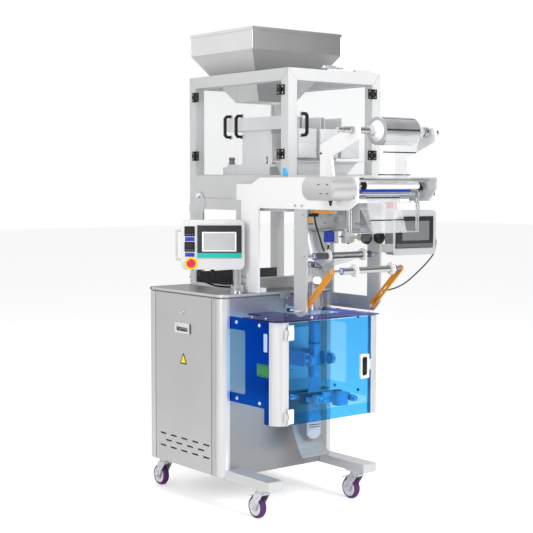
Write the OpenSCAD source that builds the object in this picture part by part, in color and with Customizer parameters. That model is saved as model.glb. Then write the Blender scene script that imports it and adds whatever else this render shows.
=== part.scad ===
// Granule packing machine: weigher with hopper on top, film unit and forming tube in front,
// guarded sealing station and chute below, cabinet on casters.
// X runs to the right along the cabinet's front, Y to the back, Z up; the floor is Z = 0.

/* [Cabinet] */
// Width of the cabinet along its front
cabinet_w = 660; // [600:10:720]
// Depth of the cabinet
cabinet_d = 587; // [540:1:640]
// Height of the lower edge of the cabinet skin above the floor
cabinet_bottom = 148; // [146:1:156]
// Height of the cabinet skin's upper edge above the floor
cabinet_top = 957; // [900:1:1000]
// Sheet thickness of the cabinet skin
sheet = 3; // [2:0.5:4]
// Radius of the cabinet's rounded front corners
corner_r = 38; // [20:1:60]
// Radius of the cabinet's rear corners
rear_r = 20; // [10:1:40]
// Thickness of the lid plate
lid_t = 14; // [8:1:20]
// Overhang of the lid past the skin
lid_lip = 5; // [2:1:12]

/* [Legs and casters] */
// Width of a leg tube
leg_w = 80; // [70:1:90]
// Height of a leg tube
leg_h = 40; // [36:1:50]
// Reach of the legs in front of the cabinet
leg_reach = 304; // [240:1:360]
// Height of a whole caster
caster_h = 144; // [140:1:146]
// Diameter of a caster wheel
wheel_d = 100; // [80:1:104]
// Width of a caster wheel
wheel_w = 30; // [24:1:34]
// Trail of a caster, from the swivel axis to the axle
caster_trail = 37; // [30:1:42]

/* [Weigher enclosure] */
// Width of the enclosure
enclosure_w = 551; // [520:1:600]
// Depth of the enclosure
enclosure_d = 754; // [700:1:800]
// Height of the enclosure frame
enclosure_h = 627; // [560:1:700]
// Width of the square frame tube
post = 50; // [40:1:60]
// Height of the stand between the lid and the enclosure
stand_h = 369; // [330:1:420]
// Thickness of the clear door panes
pane_t = 6; // [4:0.5:8]

/* [Hopper] */
// Clearance between the hopper's rim and the side of the enclosure
hopper_side_gap = 5.5; // [4:0.5:30]
// Length of the hopper's rim from front to back
hopper_d = 491; // [440:1:540]
// Height of the hopper's straight band
hopper_band = 100; // [70:5:130]
// Height of the hopper's taper above the enclosure
hopper_taper = 105; // [80:5:140]
// Sheet thickness of the hopper
hopper_sheet = 2; // [1.5:0.5:3]

/* [Film unit] */
// Thickness of the film unit's side plates
plate_t = 10; // [8:1:12]
// Diameter of the film shaft
shaft_d = 27; // [20:1:32]
// Diameter of the film roll
roll_d = 118; // [90:2:140]
// Width of the film roll
roll_w = 242; // [180:2:280]
// Diameter of the guide rollers
roller_d = 28; // [22:1:32]
// Diameter of the nylon rings on the guide rollers
ring_d = 54; // [44:1:58]
// Distance between the eyes of a dancer arm
dancer_len = 259; // [220:1:265]
// Width of a dancer arm
dancer_w = 28; // [22:1:32]

/* [Forming and sealing] */
// Outer diameter of the forming tube
tube_d = 50; // [40:1:56]
// Wall of the forming tube
tube_wall = 2; // [1.5:0.5:3]
// Depth of the guard in front of the cabinet
guard_d = 340; // [320:1:380]
// Height of the guard door
door_h = 448; // [420:1:460]
// Thickness of the guard's clear plates
guard_t = 6; // [4:0.5:8]

/* [Control boxes] */
// Width of the control box on the pole
panel_w = 287; // [270:1:320]
// Height of the control box on the pole
panel_h = 223; // [210:1:240]
// Depth of the control boxes
panel_t = 60; // [50:1:62]
// Width of a touch screen's bezel
bezel_w = 200; // [190:1:210]
// Height of a touch screen's bezel
bezel_h = 146; // [140:1:150]
// Turn of the control box on the pole, from facing front to facing left
panel_turn = 38; // [20:1:45]

/* [Hidden] */
$fn = 40;
seat = 0.3;
floor_z = 0;
lid_z = cabinet_top + lid_t;
leg_inset = 22;
leg_x = [leg_inset, cabinet_w - leg_inset - leg_w + 17];
leg_back = cabinet_d + 3;
pan_z = caster_h + leg_h;

hopper_w = enclosure_w - 2 * hopper_side_gap;
stand_x = 226;
stand_back = cabinet_d - 17;
stand_front = 196;
enclosure_z = lid_z + stand_h;
enclosure_top = enclosure_z + enclosure_h;
enclosure_y = stand_back - enclosure_d;
enclosure_x1 = stand_x + enclosure_w;
band_h = 112;
glass_z = enclosure_z + post + band_h;
glass_top = enclosure_top - post;

near_x = 190;
far_x = 628;
strip_x = near_x + plate_t;
strip_t = 8;
plate_low = 1354;
plate_high = 1490;
nose_y = -672;

film_y = -640;
film_z = 1682;
film_x0 = 108;
film_x1 = 677;
shaft_end_d = 20;
shaft_end_l = 30;
roll_x = 330;

pivot_y = -305;
pivot_z = 912;
dancer_rise = 44.4;
eye_y = pivot_y - dancer_len * cos(dancer_rise);
eye_z = pivot_z + dancer_len * sin(dancer_rise);
arm_t = 8;
arm_gap = 5;
near_arm_x = strip_x + strip_t + arm_gap;
far_arm_x = far_x - arm_gap - arm_t;
guide_y = -330;
guide_z = 1149;

tube_x = 415;
tube_y = -145;
tube_top = 1085;
collar_reach = 62;
collar_fall = 34;
collar_t = 2.5;

guard_x0 = 45;
guard_x1 = 619;
door_z = 427;
guard_top_z = door_z + door_h;

caster_front_y = 89 - leg_reach;
caster_rear_y = leg_back - 43;
pole_x = 143;
pole_y = 77;
panel_z = 1076;
panel_x0 = 34 - panel_w;
side_screen_turn = 7;
side_screen_x = 754;
side_box_w = 250;
side_box_h = 205;
stop_x = -206;
stop_z = 29;
stop_stem_d = 22;
stop_stem_in = 2;
stop_travel = 5;

sensor_x = 388;
grip_reach = 22;
gland_l = 14;
cable_bend = 14;
// Cable routes: centre lines from gland to gland
side_cable_d = 6.5;
side_gland = [side_screen_x + (side_box_w + gland_l) * cos(side_screen_turn)
    + panel_t / 2 * sin(side_screen_turn),
    -300 - (side_box_w + gland_l) * sin(side_screen_turn) + panel_t / 2 * cos(side_screen_turn), 1206];
side_route = [side_gland, side_gland + 5 * [cos(side_screen_turn), -sin(side_screen_turn), 0],
    [1031, -304, 1197], [1028, -306, 1172],
    [1014, -308, 1136], [980, -310, 1104], [925, -310, 1064], [840, -310, 1012], [774, -309, 987],
        [712, -305, 976],
    [655, -300, 973], [638, -300, 973]];
sensor_cable_d = 8;
sensor_route = [[302, -270, 1362], [302, -270, 1344], [313, -270, 1288], [337, -268, 1229],
    [360, -264, 1180], [384, -256, 1158], [402, -250, 1172], [404, -250, 1190], [404, -250, 1204]];
control_cable_d = 9;
control_route_a = [[9, 182, 1076], [9, 182, 1058], [40, 194, 1022], [104, 198, 996], [170, 186, 986],
    [206, 180, 985], [226, 180, 985]];
control_route_b = [[55, 146, 1076], [55, 146, 1056], [72, 146, 1026], [110, 152, 1008], [160, 158, 1006],
    [206, 160, 1008], [226, 160, 1008]];

// The origin is under the middle of the whole machine
reach_left = pole_x + (panel_x0 - grip_reach) * cos(panel_turn) - 5;
reach_right = side_screen_x + (side_box_w + gland_l + cable_bend) * cos(side_screen_turn)
    + (panel_t / 2 + 9) * sin(side_screen_turn);
reach_front = film_y - roll_d / 2 - 1.5;
reach_back = caster_rear_y + caster_trail + wheel_d / 2;
origin_x = (reach_left + reach_right) / 2;
origin_y = (reach_front + reach_back) / 2;

// Values of side panel
panel_y0 = 79;
panel_y1 = cabinet_d - 54;
panel_z0 = cabinet_bottom;
panel_z1 = cabinet_top;
panel_gap = 1.5;
slot_l = 56;
slot_rows = 3;
// Recessed pull: its opening and the depth of its cup
pull_y0 = 256;
pull_y1 = 356;
pull_low = 779;
pull_top = 814;
cup_depth = 24;
lock_y = (pull_y0 + pull_y1) / 2;
lock_z = pull_top + 57;
lock_d = 22;

// Values of caster fork
fork_gap = wheel_w + 10;
fork_t = 4;
fork_r = 17;

// The hopper's throat, rim and place
throat_w = 220;
throat_d = 180;
throat_x = stand_x + (enclosure_w - throat_w) / 2;
hopper_y = stand_back - hopper_d + 2;
hopper_x = stand_x + (enclosure_w - hopper_w) / 2;
throat_y = hopper_y + (hopper_d - throat_d) / 2;
throat_z = enclosure_top - 117;
band_z = enclosure_top + 3 + hopper_taper;
hem_t = 2.5;
flange_w = 16;
hem_h = 14;

// How far the roof's opening lies inside the hopper's rim, just clear of the taper
roof_share = hopper_taper / (band_z - throat_z);
roof_inset_x = (hopper_w - throat_w) / 2 * roof_share - seat;
roof_inset_y = (hopper_d - throat_d) / 2 * roof_share - seat;

// Values of enclosure panes
opening_x = [stand_x + post, enclosure_x1 - post];
opening_y = [enclosure_y + post, stand_back - post];
mid_y = (opening_y[0] + opening_y[1]) / 2;
door_gap = 2;
hinge_z = [glass_z + 70, glass_top - 64];
hinge_h = 44;
pull_z = glass_z + 168;
pull_h = 107;
pull_reach = 34;

// Values of hinge leaf
hinge_d = 12;
leaf_t = 4;

// Values of weigher base
bucket_y = -60;

// Values of weigher
pan_w = 110;
pan_rows = [for (i = [0:2]) stand_x + enclosure_w / 2 + (i - 1) * 130];

// Values of discharge funnel
funnel_y = opening_y[0] + 55;

// Values of strip outline
strip_y0 = -342;
strip_y1 = -258;

// Values of near strip
pin_d = 12;
fit = 0.1;

// Values of cross bars
rod_ends = [strip_x, far_x];
feed_y = -600;
feed_z = 1455;
hang_z = 1422;

// Values of dancer arm
slot_start = 21;
slot_end = 136;

// The forming collar's grid, round and down
collar_n = 36;
collar_rows = 6;

// Values of sealing back
jaw_z = 500;

// Values of guard profiles
profile_r = 60;
profile_wall = 8;
profile_w = 34;
groove = 3;

// Values of cheek
cheek_tail = 33;
cheek_low = door_z + 68;
cut_low = door_z + 110;
cut_high = guard_top_z - 55;

// Values of guard sides
rail_y = -guard_d + 14;
rail_x0 = guard_x0 + profile_r - sqrt(pow(profile_r - profile_wall, 2) - pow(profile_r - 14, 2)) + seat;

// Values of guard top
top_x0 = guard_x0 - 15;
top_lip = 10;
top_r = 42;
top_step = -112;
top_rear_x = guard_x0 + 100;

// Values of guard door
guard_hinge_x = guard_x0 + profile_r;

// Values of guard fittings
guard_hinge_z = [door_z + 14, door_z + door_h - 78];

// Values of chute
chute_t = 3;
chute_line = [[-12, 556], [-18, 526], [-48, 436], [-79, 357], [-98, 310], [-124, 258], [-141, 235],
    [-149, 229],
    [-152, 224], [-147, 219]];

// Everything is drawn from the cabinet's front left corner and then moved to the origin
module place() translate([-origin_x, -origin_y, floor_z]) children();

// Outline given as [Y, Z] points, raised along X from x0
module side_plate(x0, t) translate([x0, 0, 0]) rotate([90, 0, 90]) linear_extrude(t) children();

// Outline given as [X, Z] points, raised along Y from y0 to the back
module front_plate(y0, t) translate([0, y0 + t, 0]) rotate([90, 0, 0]) linear_extrude(t) children();

// Round bar along X
module bar_x(x0, x1, y, z, d) translate([x0, y, z]) rotate([0, 90, 0]) cylinder(h = x1 - x0, d = d);

// Rectangle from its lower corner, with round corners
module round_rect(w, h, r) {
    translate([r, 0]) square([w - 2 * r, h]);
    translate([0, r]) square([w, h - 2 * r]);
    for (x = [r, w - r], y = [r, h - r]) translate([x, y]) circle(r);
}

module box(from, to) translate(from) cube(to - from);

// Outline of the cabinet, set in on all sides: wide round corners in front, small ones at the back
module cabinet_outline(inset) {
    translate([inset, corner_r]) square([cabinet_w - 2 * inset, cabinet_d - corner_r - rear_r]);
    translate([corner_r, inset]) square([cabinet_w - 2 * corner_r, cabinet_d - 2 * inset]);
    translate([rear_r, corner_r]) square([cabinet_w - 2 * rear_r, cabinet_d - corner_r - inset]);
    for (x = [corner_r, cabinet_w - corner_r]) translate([x, corner_r]) circle(corner_r - inset);
    for (x = [rear_r, cabinet_w - rear_r]) translate([x, cabinet_d - rear_r]) circle(rear_r - inset);
}

// Smooth curve through the points of a cable's route, with an even number of steps a stretch
function at(p, i) = p[max(0, min(len(p) - 1, i))];
function between(a, b, c, d, t) =
    (2 * b + (c - a) * t + (2 * a - 5 * b + 4 * c - d) * t * t + (3 * b - a - 3 * c + d) * t * t * t) / 2;
function unit(v) = v / norm(v);
function curve(p, steps) = [for (i = [0:len(p) - 2])
    let (n = max(1, round(norm(p[i + 1] - p[i]) / steps)))
    for (s = [0:n - 1]) between(at(p, i - 1), p[i], p[i + 1], at(p, i + 2), s / n), p[len(p) - 1]];
function heading(p, c, i) = unit(i == 0 ? p[1] - p[0]
    : i == len(c) - 1 ? p[len(p) - 1] - p[len(p) - 2] : c[i + 1] - c[i - 1]);
// Cable swept along its route; the rings' first direction is square to side
module cable(p, d, side, steps, sides = 10) {
    c = curve(p, steps);
    n = len(c);
    rings = [for (i = [0:n - 1])
        let (t = heading(p, c, i), u = unit(cross(side, t)), w = cross(t, u))
        for (k = [0:sides - 1]) c[i] + d / 2 * (cos(360 * k / sides) * u + sin(360 * k / sides) * w)];
    polyhedron(rings, concat([[for (k = [0:sides - 1]) k]],
        [for (i = [0:n - 2], k = [0:sides - 1]) let (a = i * sides, b = (k + 1) % sides)
            [a + k, a + sides + k, a + sides + b, a + b]],
        [[for (k = [sides - 1:-1:0]) (n - 1) * sides + k]]));
}
module side_screen_cable() place() color("black") cable(side_route, side_cable_d, [0, 1, 0], 18);
module sensor_cable() place() color("black") cable(sensor_route, sensor_cable_d, [0, 1, 0], 20);
module control_cable_a() place() color("black") cable(control_route_a, control_cable_d, [0, 1, 0], 22);
module control_cable_b() place() color("black") cable(control_route_b, control_cable_d, [0, 1, 0], 22);

module cabinet_shell() place() color("gainsboro") {
    difference() {
        translate([0, 0, cabinet_bottom])
            linear_extrude(cabinet_top - cabinet_bottom) cabinet_outline(0);
        translate([0, 0, cabinet_bottom - 1])
            linear_extrude(cabinet_top - cabinet_bottom + 2) cabinet_outline(sheet);
        for (x = leg_x) box([x - 1, -1, cabinet_bottom - 1], [x + leg_w + 1, cabinet_d + 1, pan_z]);
        box([-1, panel_y0, panel_z0 - 1], [sheet + 1, panel_y1, panel_z1 + 1]);
    }
    translate([0, 0, pan_z]) linear_extrude(sheet) cabinet_outline(sheet);
}

// The lift-off panel fills the left opening
module side_panel() place() color("gainsboro") {
    slots_y = panel_y0 + 40;
    pitch = (panel_y1 - panel_y0 - 80 - slot_l) / 4;
    difference() {
        box([0, panel_y0 + panel_gap, panel_z0 + panel_gap], [sheet, panel_y1 - panel_gap,
            panel_z1 - panel_gap]);
        // Recess opening for the pull
        box([-1, pull_y0, pull_low], [sheet + 1, pull_y1, pull_top]);
        for (row = [0:slot_rows - 1], i = [0:(row == 1 ? 3 : 4)]) {
            y = slots_y + (row == 1 ? pitch / 2 : 0) + i * pitch;
            box([-1, y, panel_z0 + 90 + row * 42], [sheet + 1, y + slot_l, panel_z0 + 96 + row * 42]);
        }
    }
    // Pull cup behind the opening
    difference() {
        box([sheet, pull_y0 - 2, pull_low - 2], [sheet + cup_depth, pull_y1 + 2, pull_top + 2]);
        box([sheet - 1, pull_y0, pull_low], [sheet + cup_depth - 2, pull_y1, pull_top]);
    }
    // Lock barrel
    translate([-3, lock_y, lock_z]) rotate([0, 90, 0]) cylinder(h = 3 + sheet, d = lock_d);
}

module cabinet_lid() place() color("silver") {
    lid_soft = 3;
    hull() {
        translate([0, 0, cabinet_top + lid_soft])
            linear_extrude(lid_t - 2 * lid_soft) cabinet_outline(-lid_lip);
        translate([0, 0, cabinet_top]) linear_extrude(lid_t) cabinet_outline(lid_soft - lid_lip);
    }
}

module legs() place() color("gainsboro") {
    for (x = leg_x) box([x, -leg_reach, caster_h], [x + leg_w, leg_back, caster_h + leg_h]);
    caster_plates();
}

module caster_fork(x, y, brake) place() translate([x, y, 0]) color("silver") {
    // Lower swivel race
    translate([0, 0, caster_h - 26]) cylinder(h = 10 - seat, d = 52);
    // Fork cheeks and crown
    for (side = [-1, 1]) translate([side * (fork_gap + fork_t) / 2 - fork_t / 2, 0, 0])
        rotate([90, 0, 90]) linear_extrude(fork_t) difference() {
            union() {
                polygon([[-26, caster_h - 26], [30, caster_h - 26], [caster_trail + fork_r, wheel_d / 2],
                    [caster_trail - fork_r, wheel_d / 2]]);
                translate([caster_trail, wheel_d / 2]) circle(fork_r);
            }
            translate([-26, wheel_d / 2 + 14]) circle(32);
        }
    box([-fork_gap / 2 - fork_t, -26, caster_h - 31], [fork_gap / 2 + fork_t, 30, caster_h - 26]);
    // Axle bolt
    translate([-fork_gap / 2 - fork_t - 6, caster_trail, wheel_d / 2])
        rotate([0, 90, 0]) cylinder(h = fork_gap + 2 * fork_t + 12, d = 12);
    if (brake) translate([0, 20, caster_h - 31]) rotate([-20, 0, 0])
        box([-fork_gap / 2 + 2, 0, 0], [fork_gap / 2 - 2, 62, 5]);
}

module caster_plates()
    for (x = leg_x, y = [caster_front_y, caster_rear_y]) translate([x + leg_w / 2, y, 0]) {
        box([-38, -38, caster_h - 4], [38, 38, caster_h]);
        translate([0, 0, caster_h - 16]) cylinder(h = 12, d = 58);
    }

module caster_wheel(x, y) place() translate([x, y + caster_trail, wheel_d / 2])
    color("purple") rotate([0, 90, 0]) rotate_extrude($fn = 48) {
        r = wheel_d / 2;
        w = wheel_w / 2;
        polygon([[6.05, -w], [15, -w], [17, 5 - w], [r - 14, 5 - w], [r - 11, -w], [r - 5, -w], [r, 7 - w],
            [r, w - 7], [r - 5, w], [r - 11, w], [r - 14, w - 5], [17, w - 5], [15, w], [6.05, w]]);
    }

module weigher_stand() {
    for (x = [stand_x, enclosure_x1 - post], y = [stand_front - post, stand_back - post])
        box([x, y, lid_z + post], [x + post, y + post, enclosure_z]);
    for (y = [stand_front - post, stand_back - post])
        box([stand_x, y, lid_z], [enclosure_x1, y + post, lid_z + post]);
    box([stand_x, stand_front, lid_z], [stand_x + 8, stand_back - post, lid_z + 14]);
}

module enclosure_frame() place() color("whitesmoke") {
    weigher_stand();
    for (x = [stand_x, enclosure_x1 - post], y = [enclosure_y, stand_back - post])
        box([x, y, enclosure_z + post], [x + post, y + post, glass_top]);
    for (z = [enclosure_z, glass_top]) {
        for (y = [enclosure_y, stand_back - post]) box([stand_x, y, z], [enclosure_x1, y + post, z + post]);
        for (x = [stand_x, enclosure_x1 - post])
            box([x, enclosure_y + post, z], [x + post, stand_back - post, z + post]);
    }
    // Sheet band above the lower beams
    for (x = [stand_x + 2, enclosure_x1 - 5])
        box([x, enclosure_y + post, enclosure_z + post], [x + 3, stand_back - post, glass_z]);
    for (y = [enclosure_y + 2, stand_back - 5])
        box([stand_x + post, y, enclosure_z + post], [enclosure_x1 - post, y + 3, glass_z]);
    // Strap over the rear left post, with a round end
    side_plate(stand_x - 4, 4) {
        translate([stand_back - 119, 1320]) round_rect(119, 46, 8);
        translate([stand_back - 96, 1366]) circle(34);
    }
    // Latch bar on the roof's front right edge
    box([enclosure_x1 - 150, enclosure_y + 6, enclosure_top + 3], [enclosure_x1 - 60, enclosure_y + 22,
        enclosure_top + 13]);
    // Roof with the hopper's opening
    difference() {
        box([stand_x, enclosure_y, enclosure_top], [enclosure_x1, stand_back, enclosure_top + 3]);
        box([hopper_x + roof_inset_x, hopper_y + roof_inset_y, enclosure_top - 1],
            [hopper_x + hopper_w - roof_inset_x, hopper_y + hopper_d - roof_inset_y, enclosure_top + 4]);
    }
}

// Wall of the hopper between two insets from its rim
module hopper_ring(outer, inner, z0, z1) difference() {
    box([hopper_x + outer, hopper_y + outer, z0],
        [hopper_x + hopper_w - outer, hopper_y + hopper_d - outer, z1]);
    box([hopper_x + inner, hopper_y + inner, z0 - 1],
        [hopper_x + hopper_w - inner, hopper_y + hopper_d - inner, z1 + 1]);
}
module hopper_taper_shape(inset, low) hull() {
    box([hopper_x + hem_t + inset, hopper_y + hem_t + inset, band_z - 1],
        [hopper_x + hopper_w - hem_t - inset, hopper_y + hopper_d - hem_t - inset, band_z + inset]);
    box([throat_x + inset, throat_y + inset, low],
        [throat_x + throat_w - inset, throat_y + throat_d - inset, low + 1]);
}
module hopper() place() color("silver") {
    hopper_ring(hem_t, hem_t + hopper_sheet, band_z, band_z + hopper_band);
    // Folded hem round the rim
    hopper_ring(0, hem_t + hopper_sheet, band_z + hopper_band - hem_h, band_z + hopper_band);
    difference() {
        union() {
            hopper_taper_shape(0, throat_z);
            // Flange that rests on the roof
            box([hopper_x + roof_inset_x - flange_w, hopper_y + roof_inset_y - flange_w, enclosure_top + 3],
                [hopper_x + hopper_w - roof_inset_x + flange_w, hopper_y + hopper_d - roof_inset_y
                    + flange_w,
                    enclosure_top + 3 + hopper_sheet]);
        }
        hopper_taper_shape(hopper_sheet, throat_z - 1);
    }
}

module enclosure_panes() place() color("aliceblue", 0.4) {
    box([opening_x[0] + seat, stand_back - 20, glass_z + seat], [opening_x[1] - seat, stand_back - 20
        + pane_t, glass_top - seat]);
    box([enclosure_x1 - 20, opening_y[0] + seat, glass_z + seat], [enclosure_x1 - 20 + pane_t,
        opening_y[1] - seat, glass_top - seat]);
}

module enclosure_door_front() place() color("aliceblue", 0.4)
    box([opening_x[0] + door_gap, enclosure_y, glass_z + door_gap],
        [opening_x[1] - door_gap, enclosure_y + pane_t, glass_top - door_gap]);

module enclosure_door_left_front() place() color("aliceblue", 0.4)
    box([stand_x, opening_y[0] + door_gap, glass_z + door_gap], [stand_x + pane_t, mid_y - door_gap,
        glass_top - door_gap]);

module enclosure_door_left_rear() place() color("aliceblue", 0.4)
    box([stand_x, mid_y + door_gap, glass_z + door_gap], [stand_x + pane_t, opening_y[1] - door_gap,
        glass_top - door_gap]);

// Black bow pull standing on the XZ plane, reaching to -Y
module bow_pull() {
    outer = pull_reach + 8;
    rotate([90, 0, 90]) translate([0, 0, -6]) linear_extrude(12)
        polygon([[0, 0], [-outer + 14, 0], [-outer, 14], [-outer, pull_h - 14], [-outer + 14, pull_h],
            [0, pull_h],
            [0, pull_h - 12], [-outer + 17, pull_h - 12], [-outer + 10, pull_h - 19], [-outer + 10, 19],
            [-outer + 17, 12], [0, 12]]);
}

// Door side of a hinge in the XZ plane: its barrel is at X = 0 and its leaf runs to +X
module hinge_leaf(fixed) {
    part_h = hinge_h / 3;
    for (z = fixed ? [part_h + 0.2] : [0, 2 * part_h + 0.4])
        translate([0, -hinge_d / 2 - 1, z]) cylinder(h = part_h - 0.4, d = hinge_d);
    difference() {
        box([0, -leaf_t, 0], [26, 0, hinge_h]);
        for (z = fixed ? [-0.2, 2 * part_h - 0.2] : [part_h - 0.4])
            box([-1, -leaf_t - 1, z - 0.2], [hinge_d / 2 + 1.5, 1, z + part_h + 0.8]);
    }
}

module on_left_face() translate([stand_x, 0, 0]) rotate([0, 0, -90]) children();

module front_door_fittings() place() color("black") {
    translate([302, enclosure_y, pull_z]) bow_pull();
    for (z = hinge_z) translate([opening_x[1], enclosure_y, z]) mirror([1, 0, 0]) hinge_leaf(false);
}
module left_front_fittings() place() color("black") {
    on_left_face() translate([-(mid_y - 47), 0, pull_z]) bow_pull();
    for (z = hinge_z) on_left_face() translate([-opening_y[0], 0, z]) mirror([1, 0, 0]) hinge_leaf(false);
}
module left_rear_fittings() place() color("black") {
    on_left_face() translate([-(mid_y + 38), 0, pull_z]) bow_pull();
    for (z = hinge_z) on_left_face() translate([-opening_y[1], 0, z]) hinge_leaf(false);
}
module enclosure_hinges() place() color("black")
    for (z = hinge_z) {
        translate([opening_x[1], enclosure_y, z]) hinge_leaf(true);
        on_left_face() translate([-opening_y[0], 0, z]) hinge_leaf(true);
        on_left_face() translate([-opening_y[1], 0, z]) mirror([1, 0, 0]) hinge_leaf(true);
    }

// Linear weigher: base with vibrators, open pans and weigh buckets above the collecting funnel
module weigher_base() {
    box([stand_x + post + 40, 60, enclosure_z + post], [enclosure_x1 - post - 40, 420, enclosure_z
        + post + 150]);
    // Bearers on the lower beams
    for (x = [stand_x + post + 40, enclosure_x1 - post - 60])
        box([x, enclosure_y + 24, enclosure_z + post], [x + 20, stand_back - 24, enclosure_z + post + 20]);
    for (x = [stand_x + 110, enclosure_x1 - 110])
        box([x - 12, 24, enclosure_z + post + 150], [x + 12, 400, enclosure_z + post + 162]);
    box([stand_x + 80, 30, enclosure_z + post + 162], [enclosure_x1 - 80, 60, enclosure_z + post + 300]);
}
module weigher() place() color("whitesmoke") {
    weigher_base();
    weigh_buckets();
    for (x = pan_rows) {
        z = enclosure_z + post + 320;
        difference() {
            box([x - pan_w / 2, -20, z], [x + pan_w / 2, 400, z + 60]);
            box([x - pan_w / 2 + 3, -21, z + 3], [x + pan_w / 2 - 3, 397, z + 61]);
        }
        box([x - 30, 80, enclosure_z + post + 150], [x + 30, 300, z]);
    }
}
module weigh_buckets() {
    for (x = pan_rows) box([x - 20, bucket_y + 29, enclosure_z + post + 200], [x + 20, 30 - seat,
        enclosure_z + post + 230]);
    for (x = pan_rows) difference() {
        box([x - pan_w / 2, bucket_y - 80, enclosure_z + post + 190], [x + pan_w / 2, bucket_y + 30,
            enclosure_z + post + 320]);
        box([x - pan_w / 2 + 3, bucket_y - 77, enclosure_z + post + 193], [x + pan_w / 2 - 3,
            bucket_y + 27, enclosure_z + post + 321]);
    }
}

// Collecting funnel: a slanted upper part that clears the front beam and a cone down to the tube
module funnel_shape(inset) {
    hull() {
        box([stand_x + 90 + inset, opening_y[0] + 6 + inset, glass_z + 60], [enclosure_x1 - 90 - inset,
            20 - inset, glass_z + 61 + inset]);
        translate([tube_x, funnel_y, enclosure_z - 10]) cylinder(h = 1, d = 90 - 2 * inset);
    }
    hull() {
        translate([tube_x, funnel_y, enclosure_z - 10]) cylinder(h = 1, d = 90 - 2 * inset);
        translate([tube_x, tube_y, tube_top + 40 - inset]) cylinder(h = 1, d = tube_d - 2 * inset);
    }
}
module discharge_funnel() place() color("silver") {
    difference() {
        funnel_shape(0);
        funnel_shape(2);
    }
    // Rim between the posts
    difference() {
        box([opening_x[0] + seat, opening_y[0] - 20, glass_z + 60], [opening_x[1] - seat, 20, glass_z
            + 63]);
        box([stand_x + 92, opening_y[0] + 8, glass_z + 59], [enclosure_x1 - 92, 18, glass_z + 64]);
    }
}

module white_plates() place() color("white") {
    roll_brackets();
    side_plate(near_x, plate_t) polygon([[145, 1461], [34, 1461], [-28, plate_high], [nose_y, plate_high],
        [nose_y, 1388], [-611, plate_low], [-18, plate_low], [-18, lid_z], [109, lid_z], [109, 1388],
            [145, 1388]]);
}

module strip_outline(top) {
    round_rect_part(strip_y0, strip_y1, 888, top, 40);
}
module round_rect_part(y0, y1, z0, z1, r) {
    translate([y0, z0 + r]) square([y1 - y0, z1 - z0 - r]);
    translate([y0 + r, z0]) square([y1 - y0 - 2 * r, r]);
    for (y = [y0 + r, y1 - r]) translate([y, z0 + r]) circle(r);
}

module near_strip() {
    side_plate(strip_x, strip_t) difference() {
        strip_outline(1440);
        translate([guide_y, guide_z]) circle(d = pin_d + fit);
    }
    bar_x(strip_x + strip_t, near_arm_x + arm_t + 4, pivot_y, pivot_z, pin_d);
    bar_x(strip_x - 35, strip_x, pivot_y, pivot_z, pin_d);
}

module film_frame() place() color("gainsboro") {
    near_strip();
    far_plate();
}
module far_plate() {
    side_plate(far_x, plate_t) difference() {
        union() {
            polygon([[-186, plate_high], [-685, plate_high], [-685, 1438], [-644, 1390], [-346, 1390],
                [-346, 928], [-306, 888], [-lid_lip - seat, 888], [-lid_lip - seat, lid_z], [109,
                    lid_z], [109, enclosure_z - 1], [-186, enclosure_z - 1]]);
        }
        polygon([[-264, 952], [-26, 952], [-26, 1240], [-264, 1240]]);
        translate([guide_y, guide_z]) circle(d = pin_d + fit);
    }
    bar_x(far_arm_x - 4, far_x, pivot_y, pivot_z, pin_d);
}

// Cross bars of the film unit that don't turn
module cross_bars() place() color("silver") {
    bar_x(strip_x, far_x + plate_t, guide_y, guide_z, pin_d);
    bar_x(rod_ends[0], rod_ends[1], feed_y, hang_z, pin_d);
    bar_x(rod_ends[0], rod_ends[1], -650, 1478, 12);
    bar_x(rod_ends[0], rod_ends[1], -628, 1474, 8);
    bar_x(rod_ends[0], rod_ends[1], -564, 1431, 8);
    bar_x(rod_ends[0], rod_ends[1], -480, 1420, 20);
    // White turning bar on the near plate
    bar_x(rod_ends[0], 604, -560, 1391, 18);
    // Print head hung from its bar, slanted towards the film
    translate([352, 0, 0]) rotate([90, 0, 90]) linear_extrude(64)
        polygon([[-494, 1434], [-466, 1434], [-466, 1380], [-452, 1352], [-486, 1284], [-512, 1296],
            [-500, 1340], [-494, 1372]]);
    bar_x(rod_ends[0] + strip_t, rod_ends[1], -250, 1256, 12);
    bar_x(near_x + plate_t, far_x, feed_y, feed_z, pin_d);
    // Rail with the gland of the sensor cable
    box([rod_ends[0] + strip_t, -282, 1376], [rod_ends[1], -258, 1400]);
    translate([sensor_route[0][0], sensor_route[0][1], sensor_route[0][2]])
        cylinder(h = 1376 - sensor_route[0][2], d = 16);
}
module feed_bar() place() color("royalblue")
    front_plate(-580, 12) polygon([[284, 1422], [574, 1422], [590, 1440], [296, 1440]]);
module pull_roller() place() color("white") difference() {
    bar_x(296, 606, feed_y, feed_z, 30);
    // Bearing caps
    for (x = [286, 606]) bar_x(x, x + 10, feed_y, feed_z, 34);
    bar_x(285, 617, feed_y, feed_z, pin_d + fit);
}

module hanging_dancer() place() color("silver") {
    for (x = [strip_x + 14, far_x - 26]) {
        difference() {
            bar_x(x, x + 12, feed_y, hang_z, 24);
            bar_x(x - 1, x + 13, feed_y, hang_z, pin_d + fit);
        }
        for (y = [-6, 6]) translate([x + 6, feed_y + y, hang_z - 160]) cylinder(h = 152, d = 7);
    }
    bar_x(strip_x + 12, far_x - 12, feed_y, hang_z - 162, 8);
}

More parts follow.
